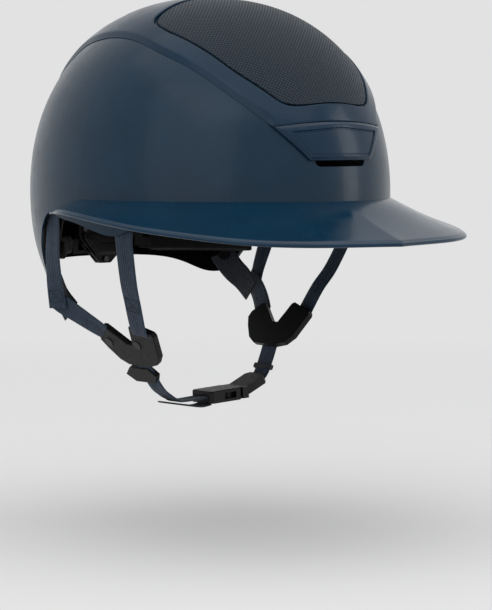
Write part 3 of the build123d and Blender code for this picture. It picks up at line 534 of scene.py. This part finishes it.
def skin(name, loops, rows, height, low, spacing, material, body):
    """Raised layer on the shell, inside the first loop and outside the others.

    Its top lies at height(point, distances to the loops) and its underside at low.
    """
    points, edges = [], []
    for loop in loops:
        start = len(points)
        points += loop
        edges += [(start + i, start + (i + 1) % len(loop)) for i in range(len(loop))]
    trees = [tree_of(loop) for loop in loops]
    inner = [p for row in rows for p in row]
    reach = max(to_disc(p).length for p in loops[0]) + 0.02
    step = spacing / DISC_MM
    steps = int(reach / step) + 1
    for i in range(-steps, steps + 1):
        for j in range(-steps, steps + 1):
            q = Vector(((i + 0.5 * (j % 2)) * step, j * step * 0.87))
            if q.length < DISC_LIMIT:
                inner.append(on_dome_along(from_disc(q), 0))
    clear = [p for p in inner if min(tree.find(p)[2] for tree in trees) > ROW_CLEARANCE]
    places = [to_disc(p) for p in points + clear]
    made = delaunay_2d_cdt(places, edges, [], 0, 1e-7)
    flat = made[0]
    outlines = [[to_disc(p) for p in loop] for loop in loops]
    wanted = [True] + [False] * (len(loops) - 1)
    triangles = []
    for t in made[2]:
        middle = (flat[t[0]] + flat[t[1]] + flat[t[2]]) / 3
        if [encloses(outline, middle) for outline in outlines] == wanted:
            triangles.append(t)
    top, bottom = [], []
    for q in flat:
        direction = from_disc(q)
        base = on_dome_along(direction, 0)
        distances = [tree.find(base)[2] for tree in trees]
        top.append(base + dome_normal(base, grown(0)) * height(base, distances))
        bottom.append(base + dome_normal(base, grown(0)) * low)
    size = len(flat)
    faces = [tuple(t) for t in triangles] + [tuple(k + size for k in reversed(t)) for t in triangles]
    used = {}
    for t in triangles:
        for a, b in zip(t, list(t[1:]) + [t[0]]):
            used[frozenset((a, b))] = used.get(frozenset((a, b)), 0) + 1
    faces += [(min(e), max(e), max(e) + size, min(e) + size) for e, n in used.items() if n == 1]
    piece = new_piece(name, top + bottom, faces, material, body)
    sharpen(piece, SKIN_CREASE)
    return piece


def encloses(outline, point):
    """Whether a closed flat outline goes round a point."""
    hits = False
    for a, b in zip(outline, outline[1:] + outline[:1]):
        crosses = (a.y > point.y) != (b.y > point.y)
        if crosses and point.x < (b.x - a.x) * (point.y - a.y) / (b.y - a.y) + a.x:
            hits = not hits
    return hits


def tree_of(points, closed=True):
    """Nearest-point finder for a line of points, spaced closely."""
    close = evenly(points, FINDER_SPACING, closed)
    tree = KDTree(len(close))
    for i, p in enumerate(close):
        tree.insert(p, i)
    tree.balance()
    return tree


def lip(distance, radius):
    """How far an edge of that radius drops below its face, near the edge."""
    near = 1 - min(distance / radius, 1)
    return radius * (1 - math.sqrt(1 - near * near))


def badge_arc(grow):
    """Top edge of the badge in front view, from its middle to its right-hand tip."""
    tip_x, tip_z = BADGE_TIP[0] + grow * 1.2, BADGE_TIP[1] + grow * 0.6
    crown = BADGE_CROWN + grow
    return [(tip_x * t, crown - (crown - tip_z) * t * t) for t in np.linspace(0, 1, 24)]


def smooth_flat(points, count):
    """Smooth line through flat points, as plain pairs."""
    return [tuple(p) for p in smooth_line([(x, y, 0) for x, y in points], count)[:, :2]]


def make_panel():
    """Crown panel: a wide chamfer along its sides, a thin lip at the badge and round both meshes."""
    seam = from_front(badge_arc(BADGE_CLEAR))
    side = from_slope(smooth_flat(PANEL_EDGE, 90), -1)
    rear = from_slope(smooth_flat(PANEL_REAR_EDGE, 60), 1)
    outline = evenly(both_halves(seam + side[1:] + rear[1:]), LOOP_SPACING, closed=True)
    window = evenly(both_halves(from_slope(smooth_flat(MESH_EDGE, 90), -1)), LOOP_SPACING, closed=True)
    rear_window = evenly(both_halves(from_above(REAR_MESH_EDGE)), LOOP_SPACING, closed=True)
    seam_tree = tree_of(seam, closed=False)
    rows = [
        loop_rows(outline, (0.35, 0.8, 1.6, 2.8, PANEL_CHAMFER - 0.3, PANEL_CHAMFER + 0.3, 6)),
        loop_rows(window, (-0.35, -0.7, -1.5)), loop_rows(rear_window, (-0.35, -0.7, -1.5)),
    ]

    def height(point, distances):
        edge, front_window, back_window = distances
        mirrored = Vector((abs(point.x), point.y, point.z))
        from_seam = seam_tree.find(mirrored)[2]
        blend = min(max((from_seam - edge - 0.2) / 3, 0), 1)
        chamfer = (PANEL_RISE - 0.35) * max(1 - edge / PANEL_CHAMFER, 0) * blend
        return PANEL_RISE - chamfer - lip(min(front_window, back_window, from_seam), PANEL_LIP)

    loops = [outline, window, rear_window]
    panel = skin("crown_shell_panel", loops, rows, height, SKIN_GAP, 5, PANEL, "root")
    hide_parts("crown_panel")


def make_badge():
    """Sliding vent badge: bevelled edges, a sunk inset and no lettering."""
    tip, low = Vector(BADGE_TIP), Vector(BADGE_FOOT)
    side = [tuple(tip + (low - tip) * t) for t in np.linspace(0, 1, BADGE_CORNER_STEPS)]
    foot = [(low.x * t, low.y) for t in np.linspace(1, 0, BADGE_CORNER_STEPS)]
    outline = evenly(both_halves(from_front(badge_arc(0) + side[1:] + foot[1:])), BADGE_SPACING, closed=True)
    corners = [Vector((x, 0, z)) for x, z in BADGE_INSET]
    inset = from_front([(p.x, p.z) for p in evenly(corners, BADGE_SPACING, closed=True)])
    inset_tree = tree_of(inset)
    front_view = [Vector((p.x, p.z)) for p in inset]

    def height(point, distances):
        facet = 1.5 * max(1 - distances[0] / BADGE_FACET, 0)
        sunk = 0.0
        gap = inset_tree.find(point)[2]
        if encloses(front_view, Vector((point.x, point.z))):
            sunk = BADGE_RECESS * min(gap / 0.35, 1) - 0.25 * min(max((gap - 0.9) / 0.4, 0), 1)
        return BADGE_HIGH - facet - sunk

    rows = [
        loop_rows(outline, (0.4, 1.0, 1.7, BADGE_FACET - 0.15, BADGE_FACET + 0.2)),
        inset, loop_rows(inset, (0.35, 0.6, 0.9, 1.3, 1.7, -0.25)),
    ]
    badge = skin("vent_badge", [outline], rows, height, BADGE_LOW, 2.2, PANEL, "vent_slider")
    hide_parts("front_badge")


# --- Brim -----------------------------------------------------------------------
BRIM_EDGE = [
    (0, -194, -26.5), (68, -176, -25.8), (103, -148, -23.6), (129, -95, -18),
    (135, -52, -13.2), (132, -4, -8.4), (111, 38, -10),
]
BRIM_THICKNESS = 2.8
BRIM_DISH = 1.4
BRIM_STEPS = 26
BRIM_CREASE = 50


def brim_column(edge):
    """Section of the brim from the shell out to its rounded edge and back underneath."""
    depth = REAR if edge.y > 0 else FRONT
    reach = 1 / math.hypot(edge.x / HALF_WIDTH, edge.y / depth)
    root_z = -10 * min(1.0, max(0.0, (edge.y * reach + 2) / 40)) ** 1.5
    inset = 1 - 2.0 / HALF_WIDTH
    root = Vector((edge.x * reach * inset, edge.y * reach * inset, root_z))
    span = edge - root
    out = Vector((span.x, span.y, 0)).normalized()
    start = min(2.15 / max(span.length, 2.2), 0.95)
    radius = BRIM_THICKNESS / 2
    top = []
    for i in range(BRIM_STEPS + 1):
        share = start + (1 - start) * i / BRIM_STEPS
        dish = BRIM_DISH * math.sin(math.pi * share) * min(1.0, span.length / 40)
        top.append(root + span * share - Vector((0, 0, dish)))
    pull = [min(1.0, (edge - p).length / (2 * radius)) for p in top]
    top = [p - out * radius * (1 - s) ** 2 for p, s in zip(top, pull)]
    rim = []
    for k in range(1, 8):
        turn = math.pi * k / 8
        rim.append(top[-1] + out * radius * math.sin(turn) - Vector((0, 0, radius * (1 - math.cos(turn)))))
    under = [p - Vector((0, 0, BRIM_THICKNESS)) for p in reversed(top)]
    return top + rim + under


def make_brim():
    half = [Vector(p) for p in smooth_line(BRIM_EDGE, 130)]
    edge = [Vector((-p.x, p.y, p.z)) for p in reversed(half[1:])] + half
    columns = [brim_column(p) for p in edge]
    ring = len(columns[0])
    points = [p for column in columns for p in column]
    brim = new_piece("wide_brim", points, capped_faces(len(columns), ring), BRIM)
    sharpen(brim, BRIM_CREASE)
    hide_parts("brim")


# --- Padding ----------------------------------------------------------------------
PAD_STEPS = (84, 40)
PAD_SHRINK = 0.97
PAD_BASE = 0.25
PIPING_RADIUS = 0.75
PIPING_SIDES = 8


def pillow(u, v):
    """Height of a stuffed pad from its seam to its middle, 0 to 1."""
    return max(1 - abs(u) ** 7, 0) ** 0.45 * max(1 - abs(v) ** 5, 0) ** 0.45


def pad(name, surface, thickness, body, ribs, channels):
    """Stuffed pad on a surface: surface(u, v) gives a point and the direction the pad rises in."""
    across, along = PAD_STEPS
    points, faces = [], []
    for layer in (0, 1):
        for i in range(across + 1):
            for j in range(along + 1):
                u, v = 2 * i / across - 1, 2 * j / along - 1
                squeeze = 1 - 0.1 * abs(u) ** 8
                point, rise = surface(u * PAD_SHRINK, v * squeeze * PAD_SHRINK)
                height = PAD_BASE
                if layer:
                    level = pillow(u, v)
                    for c in channels:
                        level *= 1 - 0.4 * math.exp(-(((v - c) / 0.045) ** 2))
                    if ribs:
                        level *= 1 - 0.085 * (1 + math.cos(2 * math.pi * ribs * u)) * min(1, 3 * (1 - abs(v)))
                    sag = 0.35 * noise.noise(point * 0.07) * level
                    height = PAD_BASE + (thickness - 0.6) * level + sag
                points.append(point + rise * height)
    layer_size = (across + 1) * (along + 1)
    for i in range(across):
        for j in range(along):
            a = i * (along + 1) + j
            quad = (a, a + 1, a + along + 2, a + along + 1)
            faces.append(quad)
            faces.append(tuple(k + layer_size for k in reversed(quad)))
    rim = [i * (along + 1) for i in range(across + 1)]
    rim += [across * (along + 1) + j for j in range(1, along + 1)]
    rim += [i * (along + 1) + along for i in range(across - 1, -1, -1)] + list(range(along - 1, 0, -1))
    for a, b in zip(rim, rim[1:] + rim[:1]):
        faces.append((a, b, b + layer_size, a + layer_size))
    piece = new_piece(name, points, faces, PADDING, body)
    seam = [points[k + layer_size] for k in rim]
    add_piping(f"{name}_piping", seam, body)
    return piece


def add_piping(name, line, body):
    """Round cord along a closed line of points."""
    line = [Vector(p) for p in line]
    count = len(line)
    points, faces = [], []
    side = None
    for i, p in enumerate(line):
        run = (line[(i + 1) % count] - line[i - 1]).normalized()
        if side is None:
            side = run.orthogonal()
        side = (side - run * side.dot(run)).normalized()
        other = run.cross(side)
        for k in range(PIPING_SIDES):
            turn = 2 * math.pi * k / PIPING_SIDES
            points.append(p + (side * math.cos(turn) + other * math.sin(turn)) * PIPING_RADIUS)
    for i in range(count):
        after = ((i + 1) % count) * PIPING_SIDES
        for k in range(PIPING_SIDES):
            beside = (k + 1) % PIPING_SIDES
            faces.append((i * PIPING_SIDES + k, i * PIPING_SIDES + beside, after + beside, after + k))
    new_piece(name, points, faces, PIPING, body)


def bore_patch(left, right, low, high):
    """Patch of the liner's hollow between two plan angles in degrees and two heights."""

    def surface(u, v):
        angle = math.radians(left + (right - left) * (u + 1) / 2)
        point = on_dome_round(angle, low + (high - low) * (v + 1) / 2, LINER_BORE)
        return point, -dome_normal(point, LINER_BORE)

    return surface


def crown_patch(u, v):
    """Oval patch at the top of the liner's hollow."""
    side, front, rear, height = LINER_BORE
    x = 42 * u * math.sqrt(1 - v * v / 2)
    y = 4 + 56 * v * math.sqrt(1 - u * u / 2)
    plan = math.hypot(x / side, y / (rear if y > 0 else front))
    point = Vector((x, y, height * (1 - plan**POWER) ** (1 / POWER)))
    return point, -dome_normal(point, LINER_BORE)


def lobe_patch(side):
    """Patch of the shell's inner face in one rear lobe."""

    def surface(u, v):
        x = 61 + 25 * u
        z = -33.5 + 10 * v
        half, _, rear, height = LINING_FACE
        share = share_at(z, height)
        point = Vector((side * x, rear * share * math.sqrt(1 - (x / half / share) ** 2), z))
        return point, -dome_normal(point, LINING_FACE)

    return surface


CRADLE_CENTRE = 32.6
BAND_PAD_FACE = 88.8
NAPE_PAD_FACE = 85.7


def band_patch(side):
    """Patch inside one fit band."""

    def surface(u, v):
        angle = math.radians(50 + 26 * u) * side
        out = Vector((math.sin(angle), math.cos(angle), 0))
        return Vector((0, CRADLE_CENTRE, -38.15 + 6.1 * v)) + out * BAND_PAD_FACE, -out

    return surface


def nape_patch(u, v):
    """V-shaped patch inside the cradle's cover."""
    x = 22.5 * u
    low = -46.3 + 13.3 * min(max((abs(x) - 9) / 14, 0), 1)
    z = low + (-30.6 - low) * (v + 1) / 2
    out = Vector((x, math.sqrt(NAPE_PAD_FACE**2 - x * x), 0)) / NAPE_PAD_FACE
    return Vector((0, CRADLE_CENTRE, z)) + out * NAPE_PAD_FACE, -out


def make_pads():
    # Name, surface, thickness, body, ribs, channels and the CAD nodes it stands for.
    pads = [
        ("crown", crown_patch, 7, "root", 0, (-0.4, 0, 0.4), ["crown_pad"]),
        ("brow", bore_patch(-46, 46, -3, 25), 7, "root", 26, (), ["brow_pad"]),
        ("rear", bore_patch(149, 211, -10, 24), 7, "root", 18, (), ["rear_pad"]),
        ("nape", nape_patch, 5, "cradle", 0, (0.1,), ["nape_pad"]),
    ]
    for side, word in SIDE_WORDS:
        start, end = (61, 122) if side == LEFT else (-122, -61)
        pads.append((f"side_{word}", bore_patch(start, end, 3, 35), 6, "root", 24, (), [f"side_pad_{word}"]))
        pads.append((f"lobe_{word}", lobe_patch(side), 2.9, "root", 0, (), [f"lobe_lining_{word}"]))
        pads.append((f"band_{word}", band_patch(side), 5.4, f"band_{word}", 16, (), [f"band_pad_{word}"]))
    for name, surface, thickness, body, ribs, channels, stands_for in pads:
        piece = pad(f"{name}_cushion", surface, thickness, body, ribs, channels)
        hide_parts(*stands_for)


# --- Harness webbing ----------------------------------------------------------------
WEBBING_WIDTH = 15.5
WEBBING_THICK = 1.5
NECK_WIDTH = 19.0
HANG = 3.5
RIB_PITCH = 1.9
LANE_WIDTH = 0.4
TAIL_THICK = 1.3
STITCH_LENGTH = 2.0
STITCH_SIDES = 6
TACK_START = 0.86
TACK_END = 0.95
TACK_HALF = 6
FRONT_TACK_SHIFT = 0.12
# Stations on the left side as (x, y, z, share of HANG), as in the CAD model.
FRONT_ROUTE = [
    (104.3, -36, 11, 0), (104.3, -35.6, -8, 0), (103.6, -34.6, -20, 0), (100.2, -31.4, -33, 0.1),
    (92, -25.2, -55.5, 0.5), (84.2, -20, -70.2, 0.8), (77.6, -16.3, -84.5, 1), (74.2, -15.5, -90.5, 1),
]
REAR_ROUTE = [
    (102.0, 46, 11, 0), (101.6, 46, -6, 0), (99.8, 48.5, -20, 0), (98.0, 52, -38, 0.3),
    (95.2, 54.5, -52, 0.6), (92.8, 55.8, -63, 0.9), (90.6, 56, -75, 1),
]
LINK_ROUTE = [
    (90.2, 62, -67.5, 1), (88.2, 54, -72.4, 1), (84.0, 44.6, -78, 1), (79.4, 36.4, -83.6, 1),
    (74.8, 29.6, -88.6, 1), (72.3, 26.6, -91.2, 1),
]
NECK_ROUTE = [
    (82.6, 51.5, -77.5, 1), (82.8, 61, -68.5, 0.9), (80.3, 69.4, -59.5, 0.4), (79.0, 77.5, -49.6, 0),
    (78.8, 79.6, -46.5, 0),
]
RIGHT_CHIN = [
    (-61.6, 5, -107.5), (-59.4, 5, -110.6), (-56.6, 5, -114.6), (-44.0, 5, -132.4), (-36.5, 5, -138.6),
    (-30.5, 5, -141.9), (-24.5, 5, -143.5), (3.5, 5, -141.95),
]
LEFT_CHIN = [
    (62.3, 4, -101.2), (60.8, 4, -105.6), (58.9, 4.3, -112), (56.1, 5, -120.5), (52.2, 5, -128.4),
    (46.8, 5, -133.9), (40.4, 5, -137.1),
]
TAIL_ROUTE = [(-0.5, 5, -147.5), (-6, 5, -148.3), (-12, 5, -148.1), (-37, 5, -143.9)]


def side_route(side, route):
    return [(side * x, y, z + side * HANG * share) for x, y, z, share in route]


def ribbon_frame(stations, turn):
    """Points along a webbing with the direction of its width at each."""
    stations = np.array(stations, float)
    count = len(stations)
    wide = []
    for i in range(count):
        share = i / (count - 1)
        run = stations[min(i + 1, count - 1)] - stations[max(i - 1, 0)]
        run /= np.linalg.norm(run)
        across = np.array(turn[0], float) * (1 - share) + np.array(turn[1], float) * share
        across -= run * across.dot(run)
        wide.append(across / np.linalg.norm(across))
    total = np.linalg.norm(np.diff(stations, axis=0), axis=1).sum()
    both = np.hstack([stations, np.array(wide)])
    return smooth_line(both, max(int(total), 8))


def ribbon(name, stations, turn, width, thick, material, body="root"):
    """Webbing with lengthwise ribs and soft edges; u runs along it and v across it, in millimetres."""
    samples = ribbon_frame(stations, turn)
    lanes = int(width / LANE_WIDTH)
    points, uvs = [], []
    travelled = 0.0
    for i, row in enumerate(samples):
        centre, across = row[:3], row[3:]
        before, after = samples[max(i - 1, 0)][:3], samples[min(i + 1, len(samples) - 1)][:3]
        run = (after - before) / np.linalg.norm(after - before)
        across = across - run * across.dot(run)
        across = across / np.linalg.norm(across)
        rise = np.cross(run, across)
        if i:
            travelled += float(np.linalg.norm(centre - samples[i - 1][:3]))
        for face in (1, -1):
            for k in range(lanes + 1):
                v = (2 * k / lanes - 1) * face
                edge = max(1 - abs(v) ** 14, 0) ** 0.5
                rib = 0.09 * math.cos(2 * math.pi * v * width / 2 / RIB_PITCH)
                height = face * ((thick / 2 - 0.12) * edge + rib * edge)
                points.append(centre + across * v * width / 2 + rise * height)
                uvs.append((travelled, v * width / 2))
    faces = capped_faces(len(samples), 2 * (lanes + 1))
    return new_piece(name, points, faces, material, body, uvs=uvs)


def stitches(name, samples, lines, thick):
    """Rows of lockstitch on a webbing, each line's two ends given as (share along, millimetres across)."""
    points, faces = [], []
    for (t0, v0), (t1, v1) in lines:
        ends = [samples[int(t * (len(samples) - 1))][:3] for t in (t0, t1)]
        length = math.hypot(float(np.linalg.norm(ends[1] - ends[0])), v1 - v0)
        count = max(int(length / STITCH_LENGTH), 1)
        for n in range(count):
            shares = [(n + f) / count for f in (0.12, 0.5, 0.88)]
            places = [(t0 + (t1 - t0) * share, v0 + (v1 - v0) * share) for share in shares]
            for face in (1, -1):
                add_stitch(points, faces, samples, places, face * thick / 2)
    new_piece(name, points, faces, THREAD)


def add_stitch(points, faces, samples, places, height):
    """One short raised thread through three places on a webbing."""
    start = len(points)
    for n, (t, v) in enumerate(places):
        at = t * (len(samples) - 1)
        i = min(int(at), len(samples) - 2)
        row = samples[i] * (1 - at + i) + samples[i + 1] * (at - i)
        run = samples[i + 1][:3] - samples[i][:3]
        run /= np.linalg.norm(run)
        across = row[3:] / np.linalg.norm(row[3:])
        rise = np.cross(run, across) * (1 if height > 0 else -1)
        middle = row[:3] + across * v + rise * (abs(height) + (0.05 if n != 1 else 0.2))
        radius = 0.12 if n != 1 else 0.3
        for k in range(STITCH_SIDES):
            turn = 2 * math.pi * k / STITCH_SIDES
            side = np.cross(run, rise)
            points.append(middle + side * radius * math.cos(turn) + rise * radius * math.sin(turn))
    for a, b, c, d in strip_faces(len(places), STITCH_SIDES):
        faces.append((start + a, start + b, start + c, start + d))
    last = start + (len(places) - 1) * STITCH_SIDES
    faces.append(tuple(range(start, start + STITCH_SIDES)))
    faces.append(tuple(range(last, last + STITCH_SIDES)))


def tack(shift):
    """Lines of a box of stitching with a cross in it, moved back along the webbing by a share."""
    near, far = TACK_START - shift, TACK_END - shift
    corners = [(near, -TACK_HALF), (near, TACK_HALF), (far, TACK_HALF), (far, -TACK_HALF)]
    crossing = [(corners[0], corners[2]), (corners[1], corners[3])]
    return list(zip(corners, corners[1:] + corners[:1])) + crossing


def make_harness():
    chin_turn = ((0, 1, 0), (0, 1, 0))
    for side, word in SIDE_WORDS:
        # Node, route, direction of the width at both ends, width and material.
        straps = [
            ("front_strap", FRONT_ROUTE, (side * 0.22, 0.975, 0), (side * 0.06, 0.99, 0.1),
             WEBBING_WIDTH, WEBBING),
            ("rear_strap", REAR_ROUTE, (side * -0.27, 0.96, 0), (side * 0.25, 0.95, 0.05),
             WEBBING_WIDTH, WEBBING),
            ("rear_link", LINK_ROUTE, (0, 0.53, -0.85), (side * -0.35, 0.75, -0.54),
             WEBBING_WIDTH, WEBBING),
            ("neck_strap", NECK_ROUTE, (side * 0.05, 0.65, -0.65), (side * -0.55, 0.49, -0.63),
             NECK_WIDTH, NECK_WEBBING),
        ]
        for node, route, first, last, width, material in straps:
            stations = side_route(side, route)
            turn = (first, last)
            piece = ribbon(f"{node}_{word}_woven", stations, turn, width, WEBBING_THICK, material)
            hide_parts(f"{node}_{word}")
            if node in ("front_strap", "rear_strap"):
                lines = tack(FRONT_TACK_SHIFT if node == "front_strap" else 0)
                stitches(f"{node}_{word}_stitching", ribbon_frame(stations, turn), lines, WEBBING_THICK)
    chins = (("chin_strap_right", RIGHT_CHIN), ("chin_strap_left", LEFT_CHIN))
    for node, route in chins:
        piece = ribbon(f"{node}_woven", route, chin_turn, WEBBING_WIDTH, WEBBING_THICK, WEBBING)
        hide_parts(node)
    tail = ribbon(
        "strap_tail_woven", TAIL_ROUTE, chin_turn, WEBBING_WIDTH, TAIL_THICK, NECK_WEBBING,
        "buckle_socket",
    )
    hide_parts("strap_tail")
    make_keeper()


def make_keeper():
    """Elastic band round the left chin webbing, bulging at its middle."""
    start, end = Vector(LEFT_CHIN[3]), Vector(LEFT_CHIN[4])
    middle = (start + end) / 2
    run = (end - start).normalized()
    across = Vector((0, 1, 0))
    rise = run.cross(across)
    points, uvs = [], []
    rows, ring = 12, 48
    for i in range(rows + 1):
        at = 2 * i / rows - 1
        bulge = 0.45 * math.sqrt(max(1 - at * at, 0)) if 0 < i < rows else -0.55
        for k in range(ring):
            turn = 2 * math.pi * k / ring
            c, d = math.cos(turn), math.sin(turn)
            wide = (WEBBING_WIDTH / 2 + 0.9 + bulge) * abs(c) ** 0.3 * (1 if c > 0 else -1)
            high = (WEBBING_THICK / 2 + 0.95 + bulge) * abs(d) ** 0.3 * (1 if d > 0 else -1)
            points.append(middle + run * at * 2.0 + across * wide + rise * high)
            uvs.append((turn * 6, at * 2.0))
    keeper = new_piece("keeper_band", points, strip_faces(rows + 1, ring), ELASTIC, uvs=uvs)
    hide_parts("strap_keeper")


# --- Scene ---------------------------------------------------------------------
FLOOR_HEIGHT = -0.232
FLOOR_REACH = 1.6
FLOOR_COLOUR = (0.72, 0.72, 0.72)
FLOOR_FADE = 0.35
FLOOR_SIDES = 64
WORLD_COLOUR = (0.8, 0.8, 0.805, 1)
WORLD_STRENGTH = 0.95
CAMERA_DISTANCE = 1.8
CAMERA_AZIMUTH = math.radians(39.9)
CAMERA_RISE = math.radians(1.73)
CAMERA_LENS = 151.8
# Where the view's centre lies from the origin at the helmet's distance, in metres.
AIM_RIGHT = 0.02533
AIM_DOWN = 0.0774


def add_light(name, place, aim, size, power):
    light = bpy.data.lights.new(name, "AREA")
    light.shape = "RECTANGLE"
    light.size, light.size_y = size
    light.energy = power
    lamp = bpy.data.objects.new(name, light)
    bpy.context.scene.collection.objects.link(lamp)
    lamp.location = place
    lamp.rotation_euler = (Vector(aim) - Vector(place)).to_track_quat("-Z", "Y").to_euler()


def add_floor():
    """Pale floor that fades into the studio's own pale light further out."""
    mesh = bpy.data.meshes.new("studio_floor")
    ring = [2 * math.pi * k / FLOOR_SIDES for k in range(FLOOR_SIDES)]
    corners = [(FLOOR_REACH * math.cos(t), FLOOR_REACH * math.sin(t), FLOOR_HEIGHT) for t in ring]
    mesh.from_pydata(corners, [], [tuple(range(FLOOR_SIDES))])
    m = Material("studio_floor", FLOOR_COLOUR, 1.0)
    m.set("Specular IOR Level", 0.0)
    m.colour(m.mix(m.noise(3, 3), FLOOR_COLOUR, tuple(c * 1.01 for c in FLOOR_COLOUR)))
    length = m.add("ShaderNodeVectorMath", operation="LENGTH")
    m.join(m.place, length.inputs[0])
    fade = m.ramp(length.outputs["Value"], FLOOR_FADE, FLOOR_REACH * 0.98, 1.0, 0.0)
    m.join(fade, m.shader.inputs["Alpha"])
    mesh.materials.append(m.material)
    floor = bpy.data.objects.new("studio_floor", mesh)
    bpy.context.scene.collection.objects.link(floor)


def add_world():
    world = bpy.data.worlds.new("studio")
    world.use_nodes = True
    back = world.node_tree.nodes["Background"]
    back.inputs["Color"].default_value = WORLD_COLOUR
    back.inputs["Strength"].default_value = WORLD_STRENGTH
    bpy.context.scene.world = world


def add_camera():
    out = Vector((
        -math.sin(CAMERA_AZIMUTH) * math.cos(CAMERA_RISE),
        -math.cos(CAMERA_AZIMUTH) * math.cos(CAMERA_RISE),
        math.sin(CAMERA_RISE),
    ))
    right = Vector((math.cos(CAMERA_AZIMUTH), -math.sin(CAMERA_AZIMUTH), 0))
    up = out.cross(right)
    data = bpy.data.cameras.new("camera")
    data.lens = CAMERA_LENS
    data.clip_end = 200
    camera = bpy.data.objects.new("camera", data)
    bpy.context.scene.collection.objects.link(camera)
    camera.location = out * CAMERA_DISTANCE
    target = right * AIM_RIGHT - up * AIM_DOWN
    camera.rotation_mode = "QUATERNION"
    camera.rotation_quaternion = (target - camera.location).to_track_quat("-Z", "Y")
    bpy.context.scene.camera = camera


def add_lights():
    add_light("overhead", (-0.2, -0.4, 1.9), (0, 0, 0), (3.6, 3.2), 22)
    add_light("left_bank", (-1.9, -0.6, 0.9), (0, 0, -0.02), (2.2, 2.4), 8)
    add_light("right_bank", (1.7, -1.5, 0.5), (0, 0, 0), (0.7, 1.6), 7)


def main():
    finish_cad_nodes()
    make_brim()
    make_panel()
    make_badge()
    make_pads()
    make_harness()
    add_world()
    add_floor()
    add_lights()
    add_camera()
    bpy.context.scene.view_settings.view_transform = "Standard"


main()
